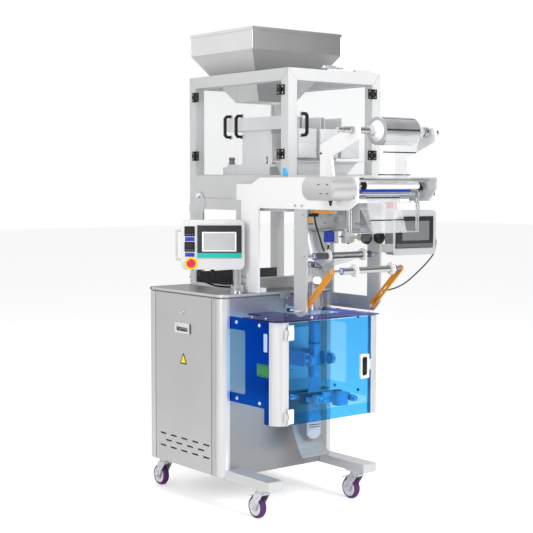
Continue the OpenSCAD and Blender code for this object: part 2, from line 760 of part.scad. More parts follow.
module roller_with_rings(x0, x1, y, z, rings) difference() {
    union() {
        bar_x(x0, x1, y, z, roller_d);
        for (x = rings) bar_x(x - 4, x + 4, y, z, ring_d);
    }
    bar_x(x0 - 1, x1 + 1, y, z, pin_d + fit);
}
module guide_roller() place() color("silver") roller_with_rings(253, 581, guide_y, guide_z, [332, 538]);
module dancer_roller() place() color("silver") roller_with_rings(270, 585, eye_y, eye_z, [344, 560]);
module dancer_shaft() place() color("silver") bar_x(near_arm_x, far_arm_x + arm_t, eye_y, eye_z, pin_d);

module dancer_arm() difference() {
    union() {
        for (x = [0, dancer_len]) translate([x, 0]) circle(d = dancer_w);
        translate([0, -dancer_w / 2]) square([dancer_len, dancer_w]);
    }
    for (x = [0, dancer_len]) translate([x, 0]) circle(d = pin_d + fit);
    translate([slot_start, -4]) square([slot_end - slot_start, 8]);
    for (x = [slot_start, slot_end]) translate([x, 0]) circle(4);
}
module dancer_arms() place() color("orange")
    for (x = [near_arm_x, far_arm_x])
        side_plate(x, arm_t) translate([pivot_y, pivot_z]) rotate(180 - dancer_rise) dancer_arm();

module roll_brackets()
    for (x = [near_x, far_x]) side_plate(x, plate_t) difference() {
        polygon([[-439, plate_high], [-439, 1626], [-551, 1668], [-600, 1700], [-677, 1700], [-683,
            1645], [-511, 1577], [-524, plate_high]]);
        translate([film_y, film_z]) circle(d = shaft_d + fit);
        translate([film_y - shaft_d / 2 - fit / 2, film_z]) square([shaft_d + fit, 40]);
    }

module film_shaft() place() color("silver") {
    bar_x(film_x0 + shaft_end_l, film_x1, film_y, film_z, shaft_d);
    bar_x(film_x0, film_x0 + shaft_end_l, film_y, film_z, shaft_end_d);
    bar_x(roll_x + roll_w + 22, roll_x + roll_w + 44, film_y, film_z, 46);
}
module film_roll() place() color("lightgrey") difference() {
    bar_x(roll_x, roll_x + roll_w, film_y, film_z, roll_d);
    bar_x(roll_x - 1, roll_x + roll_w + 1, film_y, film_z, shaft_d + fit);
}
module roll_cones() place() color("white") difference() {
    union() {
        translate([roll_x - 34, film_y, film_z]) rotate([0, 90, 0]) cylinder(h = 34, d1 = 40, d2 = 88);
        translate([roll_x + roll_w, film_y, film_z]) rotate([0, 90, 0]) cylinder(h = 22, d1 = 88, d2 = 46);
    }
    bar_x(roll_x - 40, roll_x + roll_w + 30, film_y, film_z, shaft_d + fit);
}

module motor_cover() place() color("silver")
    translate([0, 0, 0]) side_plate(65, near_x - 65) {
        for (y = [-622, -519]) translate([y, 1444]) circle(d = 98);
        translate([-622, 1395]) square([103, 98]);
    }

module forming_tube() place() color("silver") {
    tube_clamp();
    translate([tube_x, tube_y, 590]) difference() {
    cylinder(h = tube_top - 590, d = tube_d);
        translate([0, 0, -1]) cylinder(h = tube_top - 588, d = tube_d - 2 * tube_wall);
    }
}
// Clamp that carries the forming tube on the cabinet's front
module tube_clamp() difference() {
    union() {
        box([tube_x - 60, -10, 890], [tube_x + 60, 0, 950]);
        box([tube_x - 12, tube_y + tube_d / 2 + 4, 895], [tube_x + 12, -10, 945]);
        translate([tube_x, tube_y, 895]) cylinder(h = 50, d = tube_d + 16);
        box([tube_x - 42, tube_y - 10, 895], [tube_x + 42, tube_y + 10, 945]);
    }
    translate([tube_x, tube_y, 894]) cylinder(h = 52, d = tube_d + 2 * seat);
}
// Shoulder: from a raised rim round the tube the sheet bends outwards and falls away, lower at the front
function shoulder(a, t, drop) = let (
        r = tube_d / 2 + 3 + collar_reach * (0.75 + 0.25 * sin(a)) * t,
        rim = tube_top + 6 + 16 * sin(a))
    [r * cos(a), r * sin(a), rim + 10 * sin(180 * min(1, 2 * t)) * 0.5 - (26 + collar_fall) * t * t - drop];
module forming_collar() place() color("silver") translate([tube_x, tube_y, 0]) {
    count = collar_n * (collar_rows + 1);
    top = [for (j = [0:collar_rows], i = [0:collar_n - 1]) shoulder(360 * i / collar_n,
        j / collar_rows, 0)];
    low = [for (j = [0:collar_rows], i = [0:collar_n - 1]) shoulder(360 * i / collar_n,
        j / collar_rows, collar_t)];
    last = collar_rows * collar_n;
    polyhedron(concat(top, low), concat(
        [for (j = [0:collar_rows - 1], i = [0:collar_n - 1]) let (a = j * collar_n + i,
            b = j * collar_n + (i + 1) % collar_n) [a, b, b + collar_n, a + collar_n]],
        [for (j = [0:collar_rows - 1], i = [0:collar_n - 1]) let (a = count + j * collar_n + i,
            b = count + j * collar_n + (i + 1) % collar_n) [a, a + collar_n, b + collar_n, b]],
        [for (i = [0:collar_n - 1]) let (k = (i + 1) % collar_n) [i, count + i, count + k, k]],
        [for (i = [0:collar_n - 1]) let (k = (i + 1) % collar_n)
            [last + i, last + k, count + last + k, count + last + i]]));
    // Legs that stand on the clamp's arm
    for (x = [-1, 1]) box([x * 34 - 3, -8, 945 + seat], [x * 34 + 3, 8, tube_top + 6.5]);
}

module sealing_back() place() color("silver") {
    box([tube_x - 130, -12, 440], [tube_x + 130, 0, 800]);
    for (x = [-95, 95]) translate([tube_x + x, -12, jaw_z]) rotate([90, 0, 0]) cylinder(h = 250, d = 14);
    // Front yoke with the jaw cylinder
    box([tube_x - 115, -262, jaw_z - 16], [tube_x + 115, -250, jaw_z + 16]);
    box([tube_x + 6, -292, jaw_z - 26], [tube_x + 62, -262, jaw_z + 26]);
    translate([tube_x + 96, -250, jaw_z]) rotate([90, 0, 0]) cylinder(h = 40, d = 30);
    // Film pull wheel units on both sides of the tube
    for (side = [-1, 1]) box([tube_x + side * 62 - 16, tube_y - 20, 640], [tube_x + side * 62 + 16,
        -12, 700]);
    for (side = [-1, 1]) translate([tube_x + side * 62 - 9, tube_y - 40, 670]) rotate([0, 90, 0])
        cylinder(h = 18, d = 52);
}
module jaw(y0, y1) difference() {
    box([tube_x - 115, y0, jaw_z - 22], [tube_x + 115, y1, jaw_z + 22]);
    for (x = [-95, 95]) translate([tube_x + x, y1 + 1, jaw_z]) rotate([90, 0, 0])
        cylinder(h = y1 - y0 + 2, d = 14 + fit);
}
module front_jaw() place() color("silver") jaw(tube_y - 62, tube_y - 32);
module rear_jaw() place() color("silver") jaw(tube_y + 32, tube_y + 62);

module guard_profiles() place() color("gainsboro") {
    guard_hinges();
    // Rounded corner between the left side plate and the door, with grooves down its face
    translate([guard_x0 + profile_r, -guard_d + profile_r, door_z]) difference() {
        cylinder(h = door_h, r = profile_r, $fn = 96);
        translate([0, 0, -1]) cylinder(h = door_h + 2, r = profile_r - profile_wall, $fn = 96);
        box([-profile_r - 1, 0, -1], [profile_r + 1, profile_r + 1, door_h + 1]);
        box([0, -profile_r - 1, -1], [profile_r + 1, 1, door_h + 1]);
        for (a = [196, 212, 238, 256]) rotate([0, 0, a]) translate([profile_r, 0, -1])
            cylinder(h = door_h + 2, d = groove);
    }
    translate([guard_x1 - profile_w, -guard_d, door_z]) difference() {
        linear_extrude(door_h) round_rect(profile_w, 26, 5);
        for (x = [11, 23]) translate([x, 0, -1]) cylinder(h = door_h + 2, d = groove);
    }
}
// Side plate of the guard: C shape, open towards the cabinet, with a tail at its front lower corner
module cheek(front, cut) difference() {
    union() {
        translate([front, cheek_low]) square([-front, guard_top_z - seat - cheek_low]);
        translate([front, door_z]) square([cheek_tail, 100]);
    }
    translate([-cut, cut_low]) round_rect(cut + 60, cut_high - cut_low, 12);
}
module guard_sides() place() color("blue", 0.6) {
    side_plate(guard_x0, guard_t) cheek(-guard_d + profile_r + seat, 112);
    side_plate(guard_x1 - guard_t, guard_t) cheek(-guard_d + 26 + seat, 140);
    // Low rail behind the door
    box([rail_x0, rail_y, door_z + 2], [guard_x1 - profile_w - seat, rail_y + guard_t, door_z + 48]);
}
module guard_top() place() color("indigo", 0.7)
    translate([0, 0, guard_top_z]) linear_extrude(guard_t) difference() {
        union() {
            translate([top_x0 + top_r, -guard_d - top_lip])
                square([guard_x1 + 4 - top_x0 - top_r, guard_d + top_lip + top_step]);
            translate([top_x0, -guard_d - top_lip + top_r]) square([top_r + 1, guard_d + top_lip
                + top_step - top_r]);
            translate([top_x0 + top_r, -guard_d - top_lip + top_r]) circle(top_r, $fn = 64);
            translate([top_rear_x, top_step - 1]) square([guard_x1 + 4 - top_rear_x, -top_step + 1 - 2]);
        }
        // Cut-out round the tube, open to the cabinet
        translate([tube_x - 128, -212]) round_rect(256, 300, 12);
    }
module guard_door() place() color("deepskyblue", 0.6)
    box([guard_hinge_x + 3, -guard_d, door_z + 2], [guard_x1 - profile_w - 2, -guard_d + guard_t,
        door_z + door_h - 6]);
module guard_fittings() place() color("white") {
    // Latch: a round-cornered frame with a finger slot
    front_plate(-guard_d - 8, 8) difference() {
        translate([guard_x1 - 105, door_z + 165]) round_rect(51, 110, 6);
        translate([guard_x1 - 95, door_z + 177]) round_rect(29, 86, 8);
    }
    box([guard_x1 - 97, -guard_d - 2, door_z + 175], [guard_x1 - 64, -guard_d, door_z + 265]);
    for (z = guard_hinge_z) translate([guard_hinge_x, -guard_d, z]) hinge_leaf(false);
}
module guard_hinges()
    for (z = guard_hinge_z) translate([guard_hinge_x, -guard_d, z]) mirror([1, 0, 0]) hinge_leaf(true);

// Units of the film path behind the guide roller
module sensor_block() place() color("royalblue") {
    box([sensor_x, -262, 1204], [sensor_x + 60, -238, 1250]);
    box([500, -262, 1199], [546, -238, 1238]);
    box([514, -257, 1238], [532, -243, 1250]);
}
module film_web() place() color("white", 0.4) {
    side_plate(roll_x + 16, roll_w - 26) polygon([[film_y - roll_d / 2 - 1.5, film_z - 12],
        [film_y - roll_d / 2 - 0.5, film_z - 12], [film_y - 6.7, 1478 + 6 + seat], [film_y - 7.7,
            1478 + 6 + seat]]);
}

// Chute: one bent sheet from the back plate, out and down to a rolled lip
module chute() place() color("silver")
    side_plate(tube_x - 73, 156) for (i = [0:len(chute_line) - 2]) hull() {
        translate(chute_line[i] - [chute_t / 2 + seat, 0]) circle(d = chute_t, $fn = 12);
        translate(chute_line[i + 1] - [chute_t / 2 + seat, 0]) circle(d = chute_t, $fn = 12);
    }

module control_pole() place() color("silver") {
    translate([pole_x, pole_y, lid_z]) cylinder(h = 28, d = 60);
    translate([pole_x, pole_y, lid_z + 28]) cylinder(h = 110, d = 38);
}
// Panel frame: X along the face to the right, -Y out of the face, Z up from the box's lower edge
module on_panel() translate([pole_x, pole_y, panel_z]) rotate([0, 0, -panel_turn]) children();
module control_box() place() color("white") on_panel() {
    for (z = [44, 174]) translate([panel_x0 - grip_reach, 0, z]) rotate([0, 90, 0])
        cylinder(h = grip_reach + 1, d = 10);
    translate([panel_x0 - grip_reach, 0, 39]) cylinder(h = 140, d = 10);
    difference() {
        translate([0, panel_t / 2, 0]) rotate([90, 0, 0]) linear_extrude(panel_t)
            translate([panel_x0, 0]) round_rect(panel_w, panel_h, 24);
        translate([0, 0, -1]) cylinder(h = 34, d = 38 + fit);
        // Hole that the stop button's stem runs in
        translate([stop_x, -panel_t / 2 + stop_stem_in + stop_travel + 1, stop_z]) rotate([90, 0, 0])
            cylinder(h = stop_stem_in + stop_travel + 2, d = stop_stem_d + fit);
    }
}
module screens() place() color("black") {
    control_screen();
    side_screen();
}
module control_screen()
    on_panel() translate([-178, -panel_t / 2 - 6, 53]) cube([bezel_w - 2, 6, bezel_h]);
module stop_button() place() color("red")
    on_panel() translate([stop_x, -panel_t / 2, stop_z]) rotate([90, 0, 0]) {
        translate([0, 0, 12]) cylinder(h = 14, d = 40);
        translate([0, 0, -stop_stem_in]) cylinder(h = 12 + stop_stem_in, d = stop_stem_d);
    }

module on_side_screen() translate([side_screen_x, -300, 1134]) rotate([0, 0, -side_screen_turn]) children();
module side_screen_box() place() color("silver") {
    on_side_screen() translate([0, panel_t, 0]) rotate([90, 0, 0]) linear_extrude(panel_t)
        round_rect(side_box_w, side_box_h, 18);
    box([far_x + plate_t, -300, 1150], [side_screen_x + 10, -268, 1188]);
    on_side_screen() translate([side_box_w, panel_t / 2, 72]) rotate([0, 90, 0]) cylinder(h = gland_l,
        d = 18);
}
module side_screen()
    on_side_screen() translate([14, -6, 32]) cube([bezel_w + 16, 6, bezel_h]);

cabinet_shell();
cabinet_lid();
side_panel();
legs();
caster_fork(leg_x[0] + leg_w / 2, caster_front_y, true);  // caster_fork_fl
caster_fork(leg_x[1] + leg_w / 2, caster_front_y, true);  // caster_fork_fr
caster_fork(leg_x[0] + leg_w / 2, caster_rear_y, false);  // caster_fork_rl
caster_fork(leg_x[1] + leg_w / 2, caster_rear_y, false);  // caster_fork_rr
caster_wheel(leg_x[0] + leg_w / 2, caster_front_y);  // caster_wheel_fl
caster_wheel(leg_x[1] + leg_w / 2, caster_front_y);  // caster_wheel_fr
caster_wheel(leg_x[0] + leg_w / 2, caster_rear_y);  // caster_wheel_rl
caster_wheel(leg_x[1] + leg_w / 2, caster_rear_y);  // caster_wheel_rr
enclosure_frame();
enclosure_panes();
enclosure_door_front();
enclosure_door_left_front();
enclosure_door_left_rear();
front_door_fittings();
left_front_fittings();
left_rear_fittings();
enclosure_hinges();
hopper();
weigher();
discharge_funnel();
white_plates();
film_frame();
cross_bars();
feed_bar();
pull_roller();
hanging_dancer();
guide_roller();
dancer_arms();
dancer_shaft();
dancer_roller();
film_shaft();
film_roll();
film_web();
roll_cones();
motor_cover();
forming_tube();
forming_collar();
sealing_back();
front_jaw();
rear_jaw();
guard_profiles();
guard_sides();
guard_top();
guard_door();
guard_fittings();
chute();
sensor_block();
control_pole();
control_box();
screens();
stop_button();
side_screen_box();
side_screen_cable();
sensor_cable();
control_cable_a();
control_cable_b();
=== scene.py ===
import math
import bmesh
import bpy
import numpy as np
from mathutils import Euler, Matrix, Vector
from mathutils.geometry import delaunay_2d_cdt


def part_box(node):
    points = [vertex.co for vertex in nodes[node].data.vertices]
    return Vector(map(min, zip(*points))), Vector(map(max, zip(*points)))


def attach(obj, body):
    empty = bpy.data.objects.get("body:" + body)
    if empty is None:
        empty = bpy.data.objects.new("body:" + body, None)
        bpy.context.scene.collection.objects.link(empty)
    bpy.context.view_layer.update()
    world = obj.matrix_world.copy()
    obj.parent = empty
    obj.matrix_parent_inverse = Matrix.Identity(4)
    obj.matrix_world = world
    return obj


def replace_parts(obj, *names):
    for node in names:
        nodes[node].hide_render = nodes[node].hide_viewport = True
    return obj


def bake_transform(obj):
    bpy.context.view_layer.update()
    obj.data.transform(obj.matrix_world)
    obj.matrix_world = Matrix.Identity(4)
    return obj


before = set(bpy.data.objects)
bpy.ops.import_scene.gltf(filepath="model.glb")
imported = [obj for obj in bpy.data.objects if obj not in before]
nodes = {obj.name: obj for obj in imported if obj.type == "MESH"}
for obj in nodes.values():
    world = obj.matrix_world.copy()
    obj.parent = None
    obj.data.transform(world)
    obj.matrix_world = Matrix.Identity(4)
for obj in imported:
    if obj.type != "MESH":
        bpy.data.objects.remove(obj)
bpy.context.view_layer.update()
print("packed machine loaded")

# Everything is measured in millimetres from the cabinet's front left floor corner
cornerFromMiddle = np.array([477.98889, -33.25, 0.0])


def metres(points):
    return (np.asarray(points, float) - cornerFromMiddle) / 1000


# Camera
view = {"eye": (-3183.97, -4352.42, 1470.5), "yaw": 38.28, "pitch": -3.95, "roll": -0.08, "lens": 82.73}
camera = bpy.data.objects.new("camera", bpy.data.cameras.new("camera"))
bpy.context.scene.collection.objects.link(camera)
camera.data.lens = view["lens"]
camera.data.sensor_width = 36
camera.data.clip_end = 60
camera.location = metres(view["eye"])
camera.rotation_euler = Euler((math.radians(90 + view["pitch"]), math.radians(view["roll"]),
        math.radians(-view["yaw"])))
bpy.context.scene.camera = camera


toLeft, toRight, toFront, toBack, toTop, toFloor = (-1, 0, 0), (1, 0, 0), (0, -1, 0), (0, 1, 0), (0, 0, 1), (0, 0, -1)


# Unit vector along v
def unit(v):
    v = np.asarray(v, float)
    return v / np.linalg.norm(v)


# Two directions square to an axis and to each other
def squareTo(axis):
    axis = unit(axis)
    side = unit(np.cross(axis, (0, 0, 1) if abs(axis[2]) < 0.9 else (0, 1, 0)))
    return side, np.cross(axis, side)


# Quads between neighbouring points of a grid of rows and columns, wrapped where asked
def gridFaces(rows, cols, wrapRows=False, wrapCols=True):
    r = np.arange(rows if wrapRows else rows - 1)[:, None]
    c = np.arange(cols if wrapCols else cols - 1)[None, :]
    r2, c2 = (r + 1) % rows, (c + 1) % cols
    quads = np.stack(np.broadcast_arrays(r * cols + c, r * cols + c2, r2 * cols + c2, r2 * cols + c), -1)
    return quads.reshape(-1, 4).tolist()


# Puts shapes, each (points in mm, faces), into one mesh object with its place in its mesh
def makePiece(name, shapes, material, body, slot=None, sharp=32, bevel=0):
    points, faces, count = [], [], 0
    for shapePoints, shapeFaces in shapes:
        points.append(np.asarray(shapePoints, float))
        faces += [[i + count for i in face] for face in shapeFaces]
        count += len(shapePoints)
    mesh = bpy.data.meshes.new(name)
    mesh.from_pydata(metres(np.concatenate(points)).tolist(), [], faces)
    build = bmesh.new()
    build.from_mesh(mesh)
    bmesh.ops.remove_doubles(build, verts=build.verts, dist=1e-6)
    bmesh.ops.recalc_face_normals(build, faces=build.faces)
    build.to_mesh(mesh)
    build.free()
    mesh.shade_smooth()
    mesh.set_sharp_from_angle(angle=math.radians(sharp))
    mesh.materials.append(material)
    piece = bpy.data.objects.new(name, mesh)
    bpy.context.scene.collection.objects.link(piece)
    if bevel:
        edge = piece.modifiers.new("softEdge", "BEVEL")
        edge.width, edge.segments, edge.limit_method = bevel / 1000, 2, "ANGLE"
        edge.harden_normals = True
    if body:  # a piece that bends between two bodies rides on neither
        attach(piece, body)
    return piece


# Piece on the machine's frame
def fixed(name, shapes, material, slot=None, **more):
    return makePiece(name, shapes, material, "frame", slot, **more)


# Turned part: each profile row (distance along the axis, radius) becomes a ring; the ends are closed flat
def turned(profile, centre, axis, turns=32, ring=False):
    profile = np.asarray(profile, float)
    side, up = squareTo(axis)
    angle = np.linspace(0, 2 * np.pi, turns, endpoint=False)[:, None]
    circle = np.cos(angle) * side + np.sin(angle) * up
    points = np.asarray(centre, float) + profile[:, None, :1] * unit(axis) + profile[:, None, 1:] * circle[None]
    faces = gridFaces(len(profile), turns, wrapRows=ring)
    if not ring:
        faces += [list(range(turns)), list(range((len(profile) - 1) * turns, len(profile) * turns))]
    return points.reshape(-1, 3), faces


# Round bar or cable: a circle carried along the points, square to the line at each of them
def sweptTube(points, radius, sides=12):
    points = np.asarray(points, float)
    along = np.gradient(points, axis=0)
    along /= np.linalg.norm(along, axis=1)[:, None]
    frameSide = np.zeros_like(points)
    side = squareTo(along[0])[0]
    for i, t in enumerate(along):  # the same side is kept from point to point
        side = unit(side - t * np.dot(side, t))
        frameSide[i] = side
    frameUp = np.cross(along, frameSide)
    angle = np.linspace(0, 2 * np.pi, sides, endpoint=False)
    ring = np.cos(angle)[None, :, None] * frameSide[:, None] + np.sin(angle)[None, :, None] * frameUp[:, None]
    grid = points[:, None] + np.broadcast_to(np.asarray(radius, float), (len(points),))[:, None, None] * ring
    faces = gridFaces(len(points), sides)
    faces += [list(range(sides)), list(range((len(points) - 1) * sides, len(points) * sides))]
    return grid.reshape(-1, 3), faces


# Rectangle with round corners as a closed line of points
def roundRect(x0, y0, x1, y1, r, steps=6):
    r = max(0.01, min(r, (x1 - x0) / 2 - 0.01, (y1 - y0) / 2 - 0.01))
    quarter = np.linspace(0, np.pi / 2, steps + 1)
    corners = [((x1 - r, y1 - r), 0), ((x0 + r, y1 - r), 1), ((x0 + r, y0 + r), 2), ((x1 - r, y0 + r), 3)]
    return np.concatenate([np.stack(
            [cx + r * np.cos(quarter + k * np.pi / 2), cy + r * np.sin(quarter + k * np.pi / 2)], 1)
            for (cx, cy), k in corners])


# Outline moved inwards by a distance along the mean of its neighbours' normals
def inset(outline, distance):
    before, after = outline - np.roll(outline, 1, 0), np.roll(outline, -1, 0) - outline
    before = before / (np.linalg.norm(before, axis=1)[:, None] + 1e-9)
    after = after / (np.linalg.norm(after, axis=1)[:, None] + 1e-9)
    normal = np.stack([-(before + after)[:, 1], (before + after)[:, 0]], 1)
    normal /= np.linalg.norm(normal, axis=1)[:, None] + 1e-9
    turn = np.clip((np.stack([-before[:, 1], before[:, 0]], 1) * normal).sum(1), 0.5, 1)
    area = (outline[:, 0] * np.roll(outline[:, 1], -1) - np.roll(outline[:, 0], -1) * outline[:, 1]).sum()
    return outline + normal * (distance / turn)[:, None] * (1 if area > 0 else -1)


# Plate: an outline raised along x, y or z, with its rims rounded by a quarter circle of the given edge
def plate(outline, axis, low, high, edge=0.0):
    outline = np.asarray(outline, float)
    if edge:
        bend = np.linspace(0, np.pi / 2, 4)
        rows = [(low + edge * (1 - math.cos(b)), edge * (1 - math.sin(b))) for b in bend]
        rows += [(high - (h - low), i) for h, i in reversed(rows)]
    else:
        rows = [(low, 0.0), (high, 0.0)]
    layers = []
    for height, pull in rows:
        flat = inset(outline, pull) if pull else outline
        level = np.full(len(outline), height)
        a, b = flat[:, 0], flat[:, 1]
        layers.append(np.stack({"x": (level, a, b), "y": (a, level, b), "z": (a, b, level)}[axis], 1))
    n = len(outline)
    faces = gridFaces(len(rows), n) + [list(range(n)), list(range((len(rows) - 1) * n, len(rows) * n))]
    return np.concatenate(layers), faces


# Block with round corners seen along one axis
def block(low, high, axis="y", corner=1.0, edge=0.0):
    low, high = np.minimum(low, high), np.maximum(low, high)
    a, b, c = {"x": (1, 2, 0), "y": (0, 2, 1), "z": (0, 1, 2)}[axis]
    return plate(roundRect(low[a], low[b], high[a], high[b], corner, 4), axis, low[c], high[c], edge)


# Socket head screw: a low cylinder with a softened rim and a round pit
def screwHead(at, axis, size=5.0, height=None):
    height = size * 0.8 if height is None else height
    return turned([(0, size), (height * 0.8, size), (height, size * 0.85), (height, size * 0.5),
            (height * 0.5, size * 0.48)], at, axis, 16)


# Turn about a vertical line
def turnedAbout(shape, centre, degrees):
    points, faces = shape
    a = math.radians(degrees)
    turn = np.array([[math.cos(a), -math.sin(a), 0], [math.sin(a), math.cos(a), 0], [0, 0, 1]])
    return (np.asarray(points) - centre) @ turn.T + centre, faces


# Finishes
def shaderGroup(name, inputs, outputs):
    group = bpy.data.node_groups.new(name, "ShaderNodeTree")
    for label, kind, value in inputs:
        socket = group.interface.new_socket(label, in_out="INPUT", socket_type=kind)
        socket.default_value = value
    for label, kind in outputs:
        group.interface.new_socket(label, in_out="OUTPUT", socket_type=kind)
    return group, group.nodes.new("NodeGroupInput"), group.nodes.new("NodeGroupOutput")


def addNode(tree, kind, **settings):
    node = tree.nodes.new(kind)
    for key, value in settings.items():
        setattr(node, key, value)
    return node


def mathNode(tree, operation, a, b):
    node = addNode(tree, "ShaderNodeMath", operation=operation)
    for socket, value in ((node.inputs[0], a), (node.inputs[1], b)):
        if isinstance(value, (int, float)):
            socket.default_value = value
        else:
            tree.links.new(value, socket)
    return node.outputs[0]


# Grain group: colour and roughness follow a stretched noise, with a broad cloud of handling marks over it.
# The colour is the far one where the side vector's x is over a limit, else the near one; when the side vector is the
# surface normal, the far colour is painted shade on the faces that do not look left.
grainInputs = [
    ("Vector", "NodeSocketVector", (0, 0, 0)), ("Colour", "NodeSocketColor", (0.7, 0.7, 0.7, 1)),
    ("Stretch", "NodeSocketVector", (600, 600, 8)), ("Tone", "NodeSocketFloat", 0.06),
    ("Clouds", "NodeSocketFloat", 0.05), ("Cloud Size", "NodeSocketFloat", 3.0),
    ("Rough", "NodeSocketFloat", 0.35), ("Spread", "NodeSocketFloat", 0.08),
    ("Far", "NodeSocketColor", (0.7, 0.7, 0.7, 1)), ("Side", "NodeSocketVector", (0, 0, 0)),
    ("At", "NodeSocketFloat", -0.33)
]
grainGroup, grainIn, grainOut = shaderGroup("surfaceGrain", grainInputs,
    [("Colour", "NodeSocketColor"), ("Roughness", "NodeSocketFloat"), ("Height", "NodeSocketFloat")])
stretched = addNode(grainGroup, "ShaderNodeVectorMath", operation="MULTIPLY")
grainGroup.links.new(grainIn.outputs["Vector"], stretched.inputs[0])
grainGroup.links.new(grainIn.outputs["Stretch"], stretched.inputs[1])
fine = addNode(grainGroup, "ShaderNodeTexNoise")
fine.inputs["Scale"].default_value = 1.0
fine.inputs["Detail"].default_value = 3.0
grainGroup.links.new(stretched.outputs[0], fine.inputs["Vector"])
cloud = addNode(grainGroup, "ShaderNodeTexNoise")
cloud.inputs["Detail"].default_value = 4.0
grainGroup.links.new(grainIn.outputs["Vector"], cloud.inputs["Vector"])
grainGroup.links.new(grainIn.outputs["Cloud Size"], cloud.inputs["Scale"])
fineOff = mathNode(grainGroup, "SUBTRACT", fine.outputs["Fac"], 0.5)
cloudOff = mathNode(grainGroup, "SUBTRACT", cloud.outputs["Fac"], 0.5)
lift = mathNode(grainGroup, "ADD", mathNode(grainGroup, "MULTIPLY", fineOff, grainIn.outputs["Tone"]),
    mathNode(grainGroup, "MULTIPLY", cloudOff, grainIn.outputs["Clouds"]))
apart = addNode(grainGroup, "ShaderNodeSeparateXYZ")
grainGroup.links.new(grainIn.outputs["Side"], apart.inputs[0])
beyond = mathNode(grainGroup, "GREATER_THAN", apart.outputs["X"], grainIn.outputs["At"])
twoToneAndShade = addNode(grainGroup, "ShaderNodeMix", data_type="RGBA")
for source, socket in ((beyond, "Factor"), (grainIn.outputs["Colour"], 6), (grainIn.outputs["Far"], 7)):
    grainGroup.links.new(source, twoToneAndShade.inputs[socket])
shade = addNode(grainGroup, "ShaderNodeVectorMath", operation="SCALE")
grainGroup.links.new(twoToneAndShade.outputs[2], shade.inputs[0])
grainGroup.links.new(mathNode(grainGroup, "ADD", mathNode(grainGroup, "MULTIPLY", lift, 2.0), 1.0),
    shade.inputs["Scale"])
grainGroup.links.new(shade.outputs[0], grainOut.inputs["Colour"])
roughMove = mathNode(grainGroup, "MULTIPLY", mathNode(grainGroup, "ADD", fineOff, cloudOff), grainIn.outputs["Spread"])
roughSum = mathNode(grainGroup, "ADD", roughMove, grainIn.outputs["Rough"])
grainGroup.links.new(roughSum, grainOut.inputs["Roughness"])
grainGroup.links.new(fine.outputs["Fac"], grainOut.inputs["Height"])


# One material: its own shader with the grain group feeding colour, roughness and bump
def finish(name, colour, rough=0.4, metal=0.0, stretch=(600, 600, 600), tone=0.03, clouds=0.03, cloudSize=4.0,
           spread=0.05, bump=0.02, coat=0.0, alpha=1.0, glow=0.0, clear=0.0, ior=1.45, specular=0.5, far=None,
           paintedShadeByFacing=False):
    material = bpy.data.materials.new(name)
    material.use_nodes = True
    tree = material.node_tree
    shader = tree.nodes["Principled BSDF"]
    own = {"Metallic": metal, "Coat Weight": coat, "Coat Roughness": 0.08, "Alpha": alpha,
        "Transmission Weight": clear, "IOR": ior, "Specular IOR Level": specular}
    for label, value in own.items():
        shader.inputs[label].default_value = value
    where = addNode(tree, "ShaderNodeTexCoord")
    grain = addNode(tree, "ShaderNodeGroup", node_tree=grainGroup)
    tree.links.new(where.outputs["Object"], grain.inputs["Vector"])
    inputs = {"Colour": (*colour, 1), "Far": (*(far or colour), 1), "Tone": tone, "Clouds": clouds,
        "Rough": rough, "Stretch": stretch if isinstance(stretch, tuple) else (stretch,) * 3,
        "Cloud Size": cloudSize, "Spread": spread}
    for label, value in inputs.items():
        grain.inputs[label].default_value = value
    if far:  # picked by normal, faces to the left take the near colour and the others the darker far one: painted shade
        side = addNode(tree, "ShaderNodeNewGeometry").outputs["Normal"] if paintedShadeByFacing else where.outputs["Object"]
        tree.links.new(side, grain.inputs["Side"])
    tree.links.new(grain.outputs["Colour"], shader.inputs["Base Color"])
    tree.links.new(grain.outputs["Roughness"], shader.inputs["Roughness"])
    if bump:
        relief = addNode(tree, "ShaderNodeBump")
        relief.inputs["Strength"].default_value = bump
        relief.inputs["Distance"].default_value = 0.001
        tree.links.new(grain.outputs["Height"], relief.inputs["Height"])
        tree.links.new(relief.outputs["Normal"], shader.inputs["Normal"])
    if glow:
        tree.links.new(grain.outputs["Colour"], shader.inputs["Emission Color"])
        shader.inputs["Emission Strength"].default_value = glow
    return material


# Colours are linear values of what the photograph shows
steelUp = finish("brushedSheetUpright", (0.60, 0.60, 0.60), 0.40, 0.80, (900, 900, 5), 0.07, 0.10, 2.0, 0.10, 0.03)
# Faces that do not look left take the darker far colour: painted shade
steelFront = finish("brushedSheetFront", (0.56, 0.56, 0.565), 0.38, 0.75, (900, 900, 5), 0.07, 0.12, 2.0, 0.10,
    0.03, far=(0.37, 0.37, 0.375), paintedShadeByFacing=True)
steelAcross = finish("brushedSheetAcross", (0.52, 0.52, 0.52), 0.40, 0.75, (6, 900, 900), 0.07, 0.10, 2.5, 0.10, 0.03)
steelLid = finish("brushedLid", (0.25, 0.255, 0.265), 0.36, 0.75, (5, 700, 700), 0.06, 0.08, 3.0, 0.10, 0.02)
# Faces that do not look left take the darker far colour: painted shade
steelHopper = finish("hopperSheet", (0.70, 0.70, 0.70), 0.38, 0.80, (7, 7, 900), 0.07, 0.12, 2.2, 0.10, 0.03,
    far=(0.37, 0.37, 0.37), paintedShadeByFacing=True)
steelLeg = finish("satinTube", (0.66, 0.66, 0.67), 0.38, 0.6, (900, 5, 900), 0.05, 0.06, 3.0, 0.08, 0.02)
steelWeigher = finish("weigherSheet", (0.74, 0.745, 0.755), 0.34, 0.45, (500, 500, 9), 0.06, 0.12, 5.0, 0.10, 0.02)
frameCoat = finish("frameCoat", (0.60, 0.605, 0.61), 0.42, 0.15, 260, 0.02, 0.04, 5.0, 0.05, 0.015)
whiteCoat = finish("whiteCoat", (0.86, 0.86, 0.865), 0.40, 0.0, 260, 0.015, 0.03, 5.0, 0.05, 0.015)
boxCoat = finish("boxCoat", (0.64, 0.64, 0.645), 0.38, 0.0, 300, 0.015, 0.05, 6.0, 0.05, 0.015)
